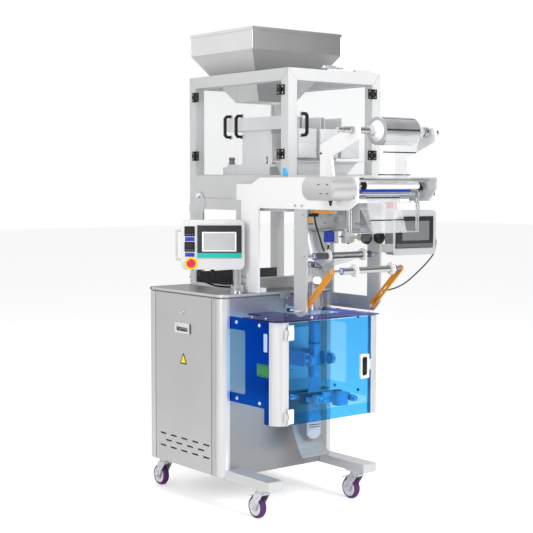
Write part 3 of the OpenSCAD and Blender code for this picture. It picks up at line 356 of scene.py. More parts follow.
greyCoat = finish("greyCoat", (0.36, 0.37, 0.38), 0.42, 0.2, 300, 0.02, 0.05, 6.0, 0.06, 0.02)
plateMetal = finish("machinedPlate", (0.60, 0.61, 0.62), 0.36, 0.6, (900, 9, 9), 0.05, 0.07, 5.0, 0.08, 0.02)
polished = finish("polishedRod", (0.62, 0.63, 0.64), 0.16, 1.0, (9, 500, 500), 0.04, 0.06, 9.0, 0.06, 0.0)
zinc = finish("brightZinc", (0.66, 0.67, 0.70), 0.28, 0.7, 200, 0.04, 0.10, 14.0, 0.10, 0.01)
blackPlastic = finish("blackPlastic", (0.007, 0.007, 0.008), 0.36, 0.0, 900, 0.10, 0.10, 9.0, 0.08, 0.05, specular=0.3)
cableBlack = finish("cableSheath", (0.010, 0.010, 0.011), 0.42, 0.0, 700, 0.10, 0.15, 12.0, 0.10, 0.04)
nylonWhite = finish("whiteNylon", (0.80, 0.80, 0.79), 0.34, 0.0, 500, 0.02, 0.04, 12.0, 0.06, 0.02)
orangeMetal = finish("orangeAnodised", (0.72, 0.28, 0.012), 0.34, 0.30, (500, 90, 90), 0.06, 0.10, 10.0, 0.10, 0.02)
royalBlue = finish("royalBlue", (0.018, 0.075, 0.62), 0.30, 0.0, 400, 0.05, 0.08, 9.0, 0.06, 0.02, coat=0.3)
filmSilver = finish("filmRoll", (0.58, 0.59, 0.61), 0.22, 0.85, (3, 260, 260), 0.20, 0.24, 9.0, 0.14, 0.06)
filmClear = finish("filmClear", (0.72, 0.73, 0.75), 0.16, 0.1, (5, 60, 60), 0.12, 0.16, 12.0, 0.10, 0.05, alpha=0.34)
filmFaint = finish("filmFaint", (0.76, 0.77, 0.79), 0.14, 0.0, (5, 60, 60), 0.10, 0.14, 12.0, 0.10, 0.05, alpha=0.06)
paneClear = finish("clearAcrylic", (0.84, 0.86, 0.88), 0.05, 0.0, 3, 0.02, 0.04, 2.0, 0.02, 0.0, alpha=0.09)
guardDeep = finish("sideAcrylic", (0.006, 0.16, 0.84), 0.02, 0.0, 3, 0.02, 0.04, 2.0, 0.0, 0.0, clear=1.0,
    ior=1.03, alpha=0.97, far=(0.40, 0.81, 0.96))
guardBlue = finish("lightBlueAcrylic", (0.17, 0.57, 0.99), 0.02, 0.0, 3, 0.02, 0.04, 2.0, 0.0, 0.0, clear=1.0,
    ior=1.03, alpha=0.95)
guardViolet = finish("violetAcrylic", (0.13, 0.12, 0.52), 0.02, 0.0, 3, 0.02, 0.04, 2.0, 0.0, 0.0, clear=1.0,
    ior=1.12, alpha=0.93)
jawSteel = finish("jawSteel", (0.22, 0.22, 0.23), 0.40, 0.8, (9, 700, 700), 0.08, 0.12, 14.0, 0.12, 0.04)
purpleTread = finish("purpleTread", (0.085, 0.014, 0.13), 0.46, 0.0, 350, 0.12, 0.20, 20.0, 0.10, 0.06)
stopRed = finish("stopRed", (0.62, 0.014, 0.05), 0.28, 0.0, 500, 0.03, 0.05, 20.0, 0.05, 0.01, coat=0.4)
bezelDark = finish("bezelDark", (0.020, 0.022, 0.026), 0.20, 0.0, 300, 0.06, 0.08, 9.0, 0.06, 0.0, coat=0.5)
displayRim = finish("displayRim", (0.80, 0.81, 0.82), 0.22, 0.0, 60, 0.01, 0.02, 9.0, 0.04, 0.0, glow=0.10)
displayGrey = finish("displayGrey", (0.47, 0.47, 0.475), 0.16, 0.0, (4, 4, 9), 0.14, 0.20, 3.0, 0.04, 0.0, glow=0.05)
displayDark = finish("displayDark", (0.15, 0.155, 0.165), 0.16, 0.0, (4, 4, 9), 0.08, 0.14, 3.0, 0.04, 0.0)
bezelGrey = finish("bezelGrey", (0.10, 0.105, 0.115), 0.30, 0.0, 300, 0.05, 0.06, 9.0, 0.06, 0.0)
tealGloss = finish("tealGloss", (0.010, 0.46, 0.39), 0.24, 0.0, 90, 0.04, 0.06, 9.0, 0.05, 0.0, coat=0.4)
windowBrown = finish("windowBrown", (0.030, 0.014, 0.014), 0.18, 0.0, 90, 0.08, 0.10, 20.0, 0.05, 0.0, coat=0.4)
keyBlue = finish("keyBlue", (0.05, 0.16, 0.42), 0.36, 0.0, 300, 0.04, 0.06, 30.0, 0.05, 0.0)
chrome = finish("chrome", (0.78, 0.79, 0.80), 0.14, 1.0, 120, 0.03, 0.08, 16.0, 0.08, 0.0)
sideCoat = finish("sideCoat", (0.44, 0.45, 0.46), 0.40, 0.1, 300, 0.02, 0.05, 6.0, 0.05, 0.015)
# These two darks are print and joint lines on some pieces and painted shade in slots, gaps and openings on others
darkPrintAndShade = finish("darkPrintAndShade", (0.012, 0.012, 0.013), 0.50, 0.0, 400, 0.08, 0.10, 9.0, 0.06, 0.0)
seamAndShadeGrey = finish("seamAndShadeGrey", (0.16, 0.16, 0.17), 0.50, 0.0, 400, 0.06, 0.08, 9.0, 0.06, 0.0)
# A lighter steel: the corner profiles' own, with painted highlight on the rounded corners and the lid's edge
cornerHighlightSteel = finish("cornerAndLidEdgeHighlight", (0.70, 0.70, 0.71), 0.30, 0.7, (700, 700, 5), 0.05, 0.08, 3.0, 0.08, 0.02)
# Painted shade for the inside of the stand
rearBeamShade = finish("rearBeamShade", (0.055, 0.056, 0.06), 0.42, 0.3, (9, 400, 400), 0.06, 0.10, 5.0, 0.08, 0.02)
legCap = finish("legCap", (0.60, 0.60, 0.61), 0.40, 0.3, 400, 0.04, 0.06, 9.0, 0.06, 0.02)
hubGrey = finish("hubGrey", (0.42, 0.43, 0.45), 0.38, 0.2, 300, 0.04, 0.08, 14.0, 0.06, 0.02)
inkBlack = finish("inkBlack", (0.012, 0.012, 0.014), 0.30, 0.0, 300, 0.08, 0.10, 20.0, 0.08, 0.0)
printOrange = finish("printOrange", (0.78, 0.36, 0.12), 0.32, 0.0, 300, 0.04, 0.08, 20.0, 0.06, 0.0, alpha=0.8)
printPale = finish("printPale", (0.66, 0.42, 0.42), 0.32, 0.0, 300, 0.06, 0.12, 20.0, 0.06, 0.0, alpha=0.5)
# Bright steel: the pull's own colour, and painted highlight on the chute's lip
brightSteelAndHighlight = finish("brightSteelAndHighlight", (0.80, 0.80, 0.81), 0.30, 0.3, 300, 0.02, 0.05, 14.0, 0.05, 0.01)
rollEdge = finish("rollEdge", (0.46, 0.47, 0.49), 0.34, 0.3, (5, 420, 420), 0.14, 0.10, 9.0, 0.10, 0.05)
rollerGrey = finish("rollerGrey", (0.075, 0.077, 0.082), 0.30, 0.4, (9, 400, 400), 0.06, 0.10, 9.0, 0.08, 0.02)
filmCrumpled = finish("filmCrumpled", (0.66, 0.67, 0.69), 0.18, 0.45, 40, 0.24, 0.30, 22.0, 0.18, 0.30, alpha=0.62)
bagFilm = finish("bagFilm", (0.74, 0.76, 0.79), 0.14, 0.05, (30, 30, 12), 0.10, 0.16, 16.0, 0.10, 0.12, alpha=0.50)
labelBlue, labelGreen, signalYellow, violetLabel, paleBlue, tabBlue = (
    finish(name, colour, rough, 0.0, 300, 0.03, 0.05, 20.0, 0.05, 0.0)
    for name, colour, rough in (("labelBlue", (0.020, 0.045, 0.42), 0.34),
        ("labelGreen", (0.012, 0.20, 0.055), 0.36), ("signalYellow", (0.88, 0.74, 0.008), 0.34),
        ("violetLabel", (0.10, 0.05, 0.30), 0.34), ("paleBlue", (0.42, 0.60, 0.86), 0.30),
        ("tabBlue", (0.06, 0.50, 0.95), 0.30)))
print("finishes made")


# Curve through the points: each stretch is the cubic whose ends turn towards the points before and after
def smoothLine(route, step):
    route = np.asarray(route, float)
    padded = np.concatenate([route[:1], route, route[-1:]])
    line = []
    for i in range(len(route) - 1):
        a, b, c, d = padded[i:i + 4]
        count = max(1, round(float(np.linalg.norm(c - b)) / step))
        t = (np.arange(count) / count)[:, None]
        line.append((2 * b + (c - a) * t + (2 * a - 5 * b + 4 * c - d) * t ** 2
                + (3 * b - a - 3 * c + d) * t ** 3) / 2)
    return np.concatenate(line + [route[-1:]])


# Cables, laid as in part.scad
cos7, sin7 = math.cos(math.radians(7)), math.sin(math.radians(7))
glandEnd = (754 + 264 * cos7 + 30 * sin7, -300 - 264 * sin7 + 30 * cos7, 1206)
cables = {"side_screen_cable": {"diameter": 6.5, "step": 9, "stiffness": "medium",
        "route": [glandEnd, (glandEnd[0] + 5 * cos7, glandEnd[1] - 5 * sin7, 1206), (1031, -304, 1197),
        (1028, -306, 1172), (1014, -308, 1136), (980, -310, 1104), (925, -310, 1064), (840, -310, 1012),
        (774, -309, 987), (712, -305, 976), (655, -300, 973), (638, -300, 973)]},
    "sensor_cable": {"diameter": 8.0, "step": 10, "stiffness": "medium",
        "route": [(302, -270, 1362), (302, -270, 1344), (313, -270, 1288), (337, -268, 1229), (360, -264, 1180),
        (384, -256, 1158), (402, -250, 1172), (404, -250, 1190), (404, -250, 1204)]},
    "control_cable_a": {"diameter": 9.0, "step": 11, "stiffness": "medium",
        "route": [(9, 182, 1076), (9, 182, 1058), (40, 194, 1022), (104, 198, 996), (170, 186, 986),
        (206, 180, 985), (226, 180, 985)]},
    "control_cable_b": {"diameter": 9.0, "step": 11, "stiffness": "medium",
        "route": [(55, 146, 1076), (55, 146, 1056), (72, 146, 1026), (110, 152, 1008), (160, 158, 1006),
        (206, 160, 1008), (226, 160, 1008)]}}
for name, cable in cables.items():
    line = smoothLine(cable["route"], cable["step"])
    lead = fixed(name + "_sheath", [sweptTube(line, cable["diameter"] / 2, 16)], cableBlack, "cable_black")
    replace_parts(lead, name)

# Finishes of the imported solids
nodeFinish = {steelFront: ["cabinet_shell"], steelUp: ["side_panel", "motor_cover"], steelLid: ["cabinet_lid"],
    steelHopper: ["hopper"], steelAcross: ["chute"], steelLeg: ["legs", "guard_profiles"],
    steelWeigher: ["weigher", "discharge_funnel"], frameCoat: ["enclosure_frame"], whiteCoat: ["white_plates"],
    plateMetal: ["film_frame", "sealing_back"],
    polished: ["cross_bars", "hanging_dancer", "guide_roller", "dancer_shaft", "dancer_roller", "film_shaft",
        "forming_tube", "forming_collar", "control_pole"],
    blackPlastic: ["front_door_fittings", "left_front_fittings", "left_rear_fittings", "enclosure_hinges",
        "screens"], nylonWhite: ["pull_roller", "roll_cones", "guard_fittings"], orangeMetal: ["dancer_arms"],
    royalBlue: ["feed_bar", "sensor_block"], filmSilver: ["film_roll"], filmClear: ["film_web"],
    paneClear: ["enclosure_panes", "enclosure_door_front", "enclosure_door_left_front",
        "enclosure_door_left_rear"], guardDeep: ["guard_sides"], guardBlue: ["guard_door"],
    guardViolet: ["guard_top"], jawSteel: ["front_jaw", "rear_jaw"], boxCoat: ["control_box"],
    greyCoat: ["side_screen_box"], stopRed: ["stop_button"],
    zinc: ["caster_fork_" + c for c in ("fl", "fr", "rl", "rr")],
    purpleTread: ["caster_wheel_" + c for c in ("fl", "fr", "rl", "rr")]}
for material, names in nodeFinish.items():
    for name in names:
        solid = nodes[name]
        if not solid.material_slots:
            solid.data.materials.append(material)
        for slot in solid.material_slots:
            slot.material = material
print("solids finished")


# Closed band between an outer and an inner outline of as many points, raised along an axis
def ringPlate(outer, inner, axis, low, high):
    rows = []
    for outline, height in ((outer, low), (outer, high), (inner, high), (inner, low)):
        level = np.full(len(outline), float(height))
        a, b = np.asarray(outline, float).T
        rows.append(np.stack({"x": (level, a, b), "y": (a, level, b), "z": (a, b, level)}[axis], 1))
    return np.concatenate(rows), gridFaces(4, len(outer), wrapRows=True)


# Ring round an axis with a rounded rim: the profile runs round its own cross-section
def softRing(centre, axis, inner, outer, start, thick, turns=40):
    e = min(thick, outer - inner) * 0.28
    rows = [
        (start, inner), (start, outer - e), (start + e, outer), (start + thick - e, outer),
        (start + thick, outer - e), (start + thick, inner + e), (start + thick - e, inner)
    ]
    return turned(rows, centre, axis, turns, ring=True)


# Thin sheet between two grids: the second grid lies a thickness away along the surface's own normals
def sheetPiece(grid, thick, wrap=False):
    grid = np.asarray(grid, float)
    rows, cols = grid.shape[:2]
    across = np.roll(grid, -1, 1) - np.roll(grid, 1, 1) if wrap else np.gradient(grid, axis=1)
    normal = np.cross(np.gradient(grid, axis=0), across)
    normal /= np.linalg.norm(normal, axis=2)[..., None] + 1e-9
    under = grid + normal * thick
    count = rows * cols
    faces = gridFaces(rows, cols, wrapCols=wrap)
    faces += [[count + i for i in face[::-1]] for face in faces]
    edges = [list(range(cols)), list(range((rows - 1) * cols, rows * cols))]
    if not wrap:
        edges += [list(range(0, rows * cols, cols)), list(range(cols - 1, rows * cols, cols))]
    for edge in edges:
        for i, j in zip(edge, edge[1:] + ([edge[0]] if wrap else [])):
            faces.append([i, j, count + j, count + i])
    return np.concatenate([grid.reshape(-1, 3), under.reshape(-1, 3)]), faces


poleFoot, sideCorner, sideHigh = np.array([143.0, 77.0, 0]), np.array([754.0, -300.0, 0]), (0, 0, 1134)


# From the lines of the turned control box, across, out of its back and up, to the machine's
def onPanel(shape):
    return turnedAbout((np.asarray(shape[0], float) + poleFoot, shape[1]), poleFoot, -38)


def onSideScreen(shape):
    return turnedAbout((np.asarray(shape[0], float) + sideCorner + sideHigh, shape[1]), sideCorner, -7)


# Control box
face = {"skin": (-253, 1076, 34, 1299), "corner": 24, "controllers": [(-236, 1226), (-236, 1156)],
    "labels": [(1204, 1222), (1134, 1151)], "strip": (1129, 1151), "display": (-157, 1158, -3, 1246),
    "stop": (-206, 1105)}
x0, z0, x1, z1 = face["skin"]
fixed("control_face_skin", [
    onPanel(plate(roundRect(x0, z0, x1, z1, face["corner"], 10), "y", -31.4, -29.8, 1.4)),
    onPanel(plate(roundRect(x0, z0, x1, z1, face["corner"], 10), "y", 29.8, 31.4, 1.4))
], boxCoat, "box_paint")
x0, z0, x1, z1 = face["display"]
strip = (-178.4, face["strip"][0] - 0.4, 20.4, face["strip"][1])
for name, rect, (corner, steps), depth, edge, material in (
        ("control_bezel", (-178.4, 1151, 20.4, 1275.4), (3, 4), (-37.0, -35.6), 0.5, bezelDark),
        ("control_display_rim", (x0, z0, x1, z1), (2, 3), (-37.6, -36.6), 0.2, displayRim),
        ("control_display", (x0 + 6, z0 + 5, x1 - 6, z1 - 5), (1, 2), (-38.0, -37.2), 0.1, displayGrey),
        ("control_strip", strip, (2, 3), (-37.4, -35.6), 0.5, tealGloss)):
    fixed(name, [onPanel(plate(roundRect(*rect, corner, steps), "y", *depth, edge))], material, "screen_black")
for k, (w, z) in enumerate(face["controllers"]):
    fixed(f"controller_case_{k}", [
        onPanel(plate(roundRect(w, z, w + 46, z + 45, 2.5, 4), "y", -35.5, -30.8, 1.0))
    ], blackPlastic, "screen_black")
    fixed(f"controller_window_{k}", [
        onPanel(plate(roundRect(w + 7, z + 17, w + 39, z + 39, 1, 2), "y", -36.1, -35.2, 0.2))
    ], windowBrown, "screen_black")
    fixed(f"controller_keys_{k}", [
        onPanel(block((w + 6 + 9.3 * i, -36.4, z + 5.5), (w + 10 + 9.3 * i, -35.2, z + 12), "y", 1.4, 0.4))
        for i in range(4)
    ], keyBlue, "screen_black")
    fixed(f"controller_sill_{k}", [
        onPanel(block((w + 3, -35.9, z - 1.5), (w + 43, -31, z + 0.8), "y", 0.6, 0.3))
    ], greyCoat, "screen_black")
for k, (low, high) in enumerate(face["labels"]):
    fixed(f"controller_label_{k}", [
        onPanel(plate(roundRect(-234, low, -191, high, 1, 2), "y", -32.0, -31.2, 0.2))
    ], labelBlue, "box_paint")
w, z = face["stop"]
stopRing = {"inner": 11.3, "outer": 28.5, "thick": 2.6}
stopHead = [
    (0, 11), (13.4, 11), (13.6, 16), (14.6, 19.2), (16.5, 20.0), (24.0, 20.0), (25.6, 19.2), (26.9, 17.4),
    (27.7, 13.5), (28.1, 7), (28.2, 0.5)
]
fixed("stop_ring", [
    onPanel(softRing((w, -31.2, z), toFront, stopRing["inner"], stopRing["outer"], 0, stopRing["thick"]))
], signalYellow, "box_paint")
stopShape = makePiece("stop_head", [
    onPanel(turned(stopHead, (w, -28.0, z), toFront, 48))
], stopRed, "stop_button", "stop_red")
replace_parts(stopShape, "stop_button")
keyAt = (w + 6, -31, z - 34)  # the keys hang from a lock under the stop button
keyParts = [
    turned([(0, 6.5), (4, 6.5), (5, 5.6), (5, 3), (3, 3)], keyAt, toFront, 20),
    block((keyAt[0] - 1.2, -48, keyAt[2] - 9), (keyAt[0] + 1.2, -36, keyAt[2] + 3), "x", 2, 0.5),
    softRing((keyAt[0] - 4, -44, keyAt[2] - 18), (1, 0.3, 0.2), 8.0, 10.0, 0, 1.8, 28),
    block((keyAt[0] - 16, -46.5, keyAt[2] - 36), (keyAt[0] - 4, -44.7, keyAt[2] - 22), "y", 5, 0.5),
    block((keyAt[0] - 8, -46.4, keyAt[2] - 54), (keyAt[0] - 3, -44.8, keyAt[2] - 34), "y", 1, 0.4),
    block((keyAt[0] + 1, -45.4, keyAt[2] - 50), (keyAt[0] + 11, -43.8, keyAt[2] - 34), "y", 4, 0.5)
]
fixed("stop_keys", [onPanel(shape) for shape in keyParts], chrome, "zinc")
for name, centre, low in (("a", (9, 182), 1062), ("b", (55, 146), 1062)):
    fixed("control_gland_" + name, [
        turned([(0, 6.4), (3, 6.4), (4, 9.5), (12, 9.5), (12, 11), (14.2, 11)], (*centre, low), toTop, 24)
    ], blackPlastic, "cable_black")
    fixed("floor_gland_" + name, [
        turned([(0, 11), (3, 11), (3.5, 8.5), (11, 7.0), (13, 5.2)],
            (226.2, 180 if name == "a" else 160, 985 if name == "a" else 1008), toLeft, 24)
    ], blackPlastic, "cable_black")
print("control box dressed")

# Side screen
fixed("side_box_skin", [
    onSideScreen(plate(roundRect(0, 0, 250, 205, 18, 10), "y", -1.4, 0.2, 1.2)),
    onSideScreen(plate(roundRect(0, 0, 250, 205, 18, 10), "y", 59.8, 61.4, 1.2))
], sideCoat, "side_box_paint")
for name, rect, (corner, steps), depth, edge, material in (
        ("side_bezel", (14, 34, 231, 178), (5, 5), (-7.2, -5.4), 0.8, bezelDark),
        ("side_display", (49, 67, 206, 157), (2, 3), (-8.0, -6.8), 0.2, displayDark),
        ("side_strip", (15, 35, 230, 52), (4, 4), (-7.8, -6.9), 0.3, bezelGrey)):
    fixed(name, [
        onSideScreen(plate(roundRect(*rect, corner, steps), "y", *depth, edge))
    ], material, "screen_black")
fixed("side_gland", [
    onSideScreen(turned([(0, 11.5), (4, 11.5), (4.5, 9.6), (12, 9.6), (13, 8.2), (14.4, 4.2)], (250, 30, 72),
            toRight, 28))
], blackPlastic, "cable_black")
fixed("side_gland_nut", [
    onSideScreen(turned([(0, 13.4), (4.0, 13.4), (4.8, 12.2)], (250, 30, 72), toRight, 6))
], nylonWhite, "cable_black")
fixed("far_plate_gland", [
    turned([(0, 9), (4, 9), (4.5, 7.2), (12, 5.8), (14, 4.2)], (638.2, -300, 973), toRight, 24)
], blackPlastic, "cable_black")
fixed("side_bracket_bolts", [
    screwHead((x, -300, z), toFront, 4.2, 3.4) for x in (656, 700) for z in (1160, 1178)
], zinc, "zinc")
print("side screen dressed")

# Cabinet
panel = {"y": (79, 533), "z": (148, 957), "sheet": 3, "gap": 1.5, "lock": (306, 871), "pull": (256, 779, 356, 814)}
# Dark strips along the side panel's front and rear edges: painted shade in the gaps beside the panel
fixed("panel_seam_shade", [
    block((-0.7, y, 152), (0.2, y + 2.2, 949), "x", 0.6) for y in (76.6, 533.4)
], seamAndShadeGrey, "cabinet_steel")
fixed("lid_shadow_gap", [
    ringPlate(roundRect(-1.0, -1.0, 661.0, 588.0, 39, 8), roundRect(2, 2, 658, 585, 36, 8), "z", 951.5, 956.9)
], seamAndShadeGrey, "cabinet_steel")


# Corner sheet: an arc with straight flanges on both sides, a hair proud of the skin
def cornerSheet(centre, radius, first, flangeA, flangeB):
    quarter = np.radians(first + np.linspace(0, 90, 25))
    arc = np.stack([np.cos(quarter), np.sin(quarter)], 1) * (radius + 0.9) + centre
    tangentA = np.array([math.sin(math.radians(first)), -math.cos(math.radians(first))])
    tangentB = -np.array([math.sin(math.radians(first + 90)), -math.cos(math.radians(first + 90))])
    line = np.concatenate([[arc[0] + tangentA * flangeA], arc, [arc[-1] + tangentB * flangeB]])
    grid = np.stack([np.column_stack([line, np.full(len(line), z)]) for z in (149.0, 951.0)])
    return sheetPiece(grid, 1.2)


# The corner sheets are lighter than the skin: partly the profiles' own steel, partly painted highlight on the rounded
# corners
fixed("corner_profiles", [
    cornerSheet((38, 38), 38, 180, 1, 6), cornerSheet((622, 38), 38, 270, 6, 30),
    cornerSheet((640, 567), 20, 0, 30, 6), cornerSheet((20, 567), 20, 90, 6, 33)
], cornerHighlightSteel, "cabinet_steel", sharp=40)
y0, z0, y1, z1 = panel["pull"]
makePiece("pull_frame", [
    ringPlate(roundRect(y0 - 10, z0 - 7, y1 + 10, z1 + 7, 4, 4),
        roundRect(y0 + 4, z0 + 3, y1 - 4, z1 - 4, 5, 4), "x", -4.6, -2.6)
], brightSteelAndHighlight, "side_panel", "cabinet_steel", bevel=0.6)
makePiece("pull_edge_shade", [
    block((-4.4, y0 - 13, z0 - 6), (-2.9, y0 - 10, z1 + 5), "x", 1.0)
], darkPrintAndShade, "side_panel", "cabinet_steel")
hood = np.stack([np.stack([np.full(9, x), np.linspace(y0 + 2, y1 - 2, 9), np.full(9, z)], 1)
        for x, z in ((-1.2, z1 - 3), (-1.6, z1 - 12), (1.5, z1 - 15), (8, z1 - 14))])
makePiece("pull_hood", [sheetPiece(hood, 1.0)], brightSteelAndHighlight, "side_panel", "cabinet_steel", bevel=0.4)
makePiece("pull_shade", [
    block((5, y0 + 0.6, z0 + 0.6), (24, y1 - 0.6, z0 + 2), "x", 1),
    block((22.6, y0 + 0.6, z0 + 0.6), (24.4, y1 - 0.6, z1 - 0.6), "x", 1)
], darkPrintAndShade, "side_panel", "cabinet_steel")
makePiece("panel_lock", [
    softRing((-3, *panel["lock"]), toLeft, 7.2, 11.2, -0.4, 2.6, 32),
    turned([(-1, 6.8), (1.0, 6.8), (1.5, 6.0)], (-3, *panel["lock"]), toLeft, 24)
], chrome, "side_panel", "cabinet_steel")
# The keyhole is a dark plate on the lock: painted shade for its opening
makePiece("panel_keyhole", [
    block((-5.2, panel["lock"][0] - 1, panel["lock"][1] - 4.5),
        (-4.2, panel["lock"][0] + 1, panel["lock"][1] + 4.5), "x", 0.9)
], darkPrintAndShade, "side_panel", "cabinet_steel")
triangle = {"top": (301, 683), "low": (330, 629), "right": (272, 629)}
corners = np.array([triangle["top"], triangle["low"], triangle["right"]], float)


# Triangle whose corners become arcs
def roundedTriangle(points, radius):
    line = []
    for i in range(3):
        a, b, c = points[i - 1], points[i], points[(i + 1) % 3]
        u, v = unit(a - b), unit(c - b)
        half = math.acos(float(np.dot(u, v))) / 2
        centre = b + unit(u + v) * radius / math.sin(half)
        start, end = b + u * radius / math.tan(half) - centre, b + v * radius / math.tan(half) - centre
        t = np.linspace(0, 1, 7)[:, None]
        arc = start * (1 - t) + end * t
        line.append(centre + arc / np.linalg.norm(arc, axis=1)[:, None] * radius)
    return np.concatenate(line)


makePiece("panel_mark_edge", [
    plate(roundedTriangle(corners, 3), "x", -0.7, 0.3, 0.2)
], darkPrintAndShade, "side_panel", "cabinet_steel")
middle = corners.mean(0)
makePiece("panel_mark", [
    plate(roundedTriangle(middle + (corners - middle) * 0.70, 1.5), "x", -1.2, -0.5, 0.2)
], signalYellow, "side_panel", "cabinet_steel")
makePiece("slot_shade", [block((5, 88, 206), (6.5, 508, 296), "x", 3)], darkPrintAndShade, "side_panel", "cabinet_steel")


# Sheet across x between an outline and round holes in it: the flat is cut into triangles, those in a hole are dropped
def holedSheet(outline, holes, low, high):
    flat, edges = [], []
    for loop in [outline] + holes:
        first = len(flat)
        flat += [Vector(point) for point in loop]
        edges += [(first + i, first + (i + 1) % len(loop)) for i in range(len(loop))]
    points, _, triangles, *_ = delaunay_2d_cdt(flat, edges, [], 0, 1e-4)
    points = np.array([tuple(point) for point in points])

    def inside(at, loop):
        a, b = loop, np.roll(loop, -1, 0)
        crosses = (a[:, 1] > at[1]) != (b[:, 1] > at[1])
        x = a[:, 0] + (at[1] - a[:, 1]) / np.where(crosses, b[:, 1] - a[:, 1], 1) * (b[:, 0] - a[:, 0])
        return int((crosses & (x > at[0])).sum()) % 2 == 1

    kept = [t for t in triangles if not any(inside(points[list(t)].mean(0), hole) for hole in holes)]
    rims = {}
    for t in kept:
        for i in range(3):
            a, b = t[i], t[(i + 1) % 3]
            rims[frozenset((a, b))] = None if frozenset((a, b)) in rims else (a, b)
    count = len(points)
    faces = [list(t) for t in kept] + [[count + i for i in t] for t in kept]
    faces += [[a, b, count + b, count + a] for a, b in filter(None, rims.values())]
    return np.concatenate([np.column_stack([np.full(count, x), points]) for x in (low, high)]), faces


# The slots shown lie about 36 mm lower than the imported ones, so the panel is replaced whole
slots = [
    (first + 87.5 * i, z) for first, z, count in ((120, 280, 5), (162, 251, 4), (121, 222, 5)) for i in range(count)
]
slotHoles = [roundRect(y - 25, z - 3.8, y + 25, z + 3.8, 3.6, 5) for y, z in slots]
pullHole = roundRect(y0, z0, y1, z1, 3, 4)
thick, gap = panel["sheet"], panel["gap"]
low, high = [(panel["y"][i] + inward, panel["z"][i] + inward) for i, inward in ((0, gap), (1, -gap))]
panelParts = [
    holedSheet(roundRect(low[0], low[1], high[0], high[1], 1.2, 3), slotHoles + [pullHole], 0, thick),
    ringPlate(roundRect(y0 - 2, z0 - 2, y1 + 2, z1 + 2, 4, 4), pullHole, "x", thick, 24),
    plate(roundRect(y0 - 2, z0 - 2, y1 + 2, z1 + 2, 4, 4), "x", 22, 24),
    turned([(0, 11), (3 + thick, 11)], (-3, *panel["lock"]), toRight, 40)
]
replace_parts(makePiece("side_panel_slotted", panelParts, steelUp, "side_panel", "cabinet_steel"), "side_panel")
# A dark sheet on the stand's rear lower beam, seen through its open left side: painted shade inside the stand
fixed("stand_shade_sheet", [block((229, 515.5, 972), (727, 519.5, 1036), "y", 1, 0.5)], rearBeamShade, "leg_steel")
fixed("pole_collar", [
    turned([(0, 30.6), (5, 30.6), (6, 29.6), (8, 29.6)], (143, 77, 971.2), toTop, 48),
    softRing((143, 77, 993), toTop, 18.6, 30.4, 0, 6.4, 48),
    *[screwHead((143 + 25 * math.cos(a), 77 + 25 * math.sin(a), 999), toTop, 3.2, 2.6) for a in (0.6, 2.2, 3.7, 5.3)]
], chrome, "polished")
# A lighter band laid over the lid's edge: painted highlight where the edge catches the light
fixed("lid_rim_highlight", [
    ringPlate(roundRect(-5.7, -5.7, 665.7, 592.7, 43, 10), roundRect(-4.2, -4.2, 664.2, 591.2, 42, 10), "z",
        959.5, 970.2)
], cornerHighlightSteel, "cabinet_steel")
fixed("lid_edge_bracket", [
    block((330, -7, 938), (392, -1.5, 966), "y", 1.5, 0.6),
    block((336, -11, 944), (386, -6.6, 949), "y", 1, 0.4),
    block((336, -11, 954), (386, -6.6, 959), "y", 1, 0.4)
], greyCoat, "leg_steel")
fixed("plate_foot_block", [block((206, -16, 971.2), (240, 40, 992), "z", 4, 1.5)], whiteCoat, "white_paint")
fixed("leg_end_caps", [
    block((x + 2.5, y - 1.4, 146.5), (x + 77.5, y + 1.4, 181.5), "y", 4, 1.0) for x in (22, 575)
    for y in (-304.4, 590.4)
], legCap, "leg_steel")
print("cabinet dressed")

# Casters
rim = [(9.4, 17), (10.6, 17), (10.6, 31.4), (15.5, 34.4), (15.8, 37.2), (14, 38.2), (9.4, 34)]
hub = [(9.4, 6.6), (15.8, 6.6), (16.3, 7.6), (16.3, 12.5), (15.4, 14.6), (10.6, 18), (9.4, 18)]
for corner in ("fl", "fr", "rl", "rr"):
    low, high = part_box("caster_wheel_" + corner)
    centre = (np.array(low) + np.array(high)) / 2 * 1000 + cornerFromMiddle
    for material, part, profile in ((nylonWhite, "rim", rim), (hubGrey, "hub", hub)):
        makePiece(f"caster_{part}_{corner}", [
            turned(profile, centre, (side, 0, 0), 48, ring=True) for side in (-1, 1)
        ], material, "caster_wheel_" + corner, "caster_tread")
    makePiece("caster_nuts_" + corner, [
        turned([(0, 8.4), (6.2, 8.4), (7, 7.4), (7, 4.6), (10.2, 4.6), (11, 3.8)], centre + (side * 24.2, 0, 0),
            (side, 0, 0), 6) for side in (-1, 1)
    ], zinc, "caster_fork_" + corner, "zinc")
    makePiece("caster_race_" + corner, [
        softRing((centre[0], centre[1] - 37, 117.6), toTop, 20, 30.5, 0, 8.6, 44)
    ], zinc, "caster_fork_" + corner, "zinc")
    fixed("caster_screws_" + corner, [
        screwHead((centre[0] + sx * 29, centre[1] - 37 + sy * 29, 140), toFloor, 5.2, 5) for sx in (-1, 1)
        for sy in (-1, 1)
    ], zinc, "zinc")
# Pressed brake pedal over the plain one: it falls with the square of the way off its middle
for corner in ("fl", "fr"):
    low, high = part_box("caster_wheel_" + corner)
    centre = (np.array(low) + np.array(high)) / 2 * 1000 + cornerFromMiddle
    run = np.array([(14, 108), (28, 114), (42, 112), (54, 104), (62, 97)], float)
    line = smoothLine(np.column_stack([np.zeros(5), run]), 3)
    grid = np.stack([line + (centre[0] + x, centre[1] - 37, 0) + (0, 0, -abs(x) ** 2 / 60)
            for x in np.linspace(-16, 16, 9)], 1)
    makePiece("brake_pedal_" + corner, [
        sheetPiece(grid, 2.2)
    ], zinc, "caster_fork_" + corner, "zinc", bevel=0.5)
print("casters dressed")

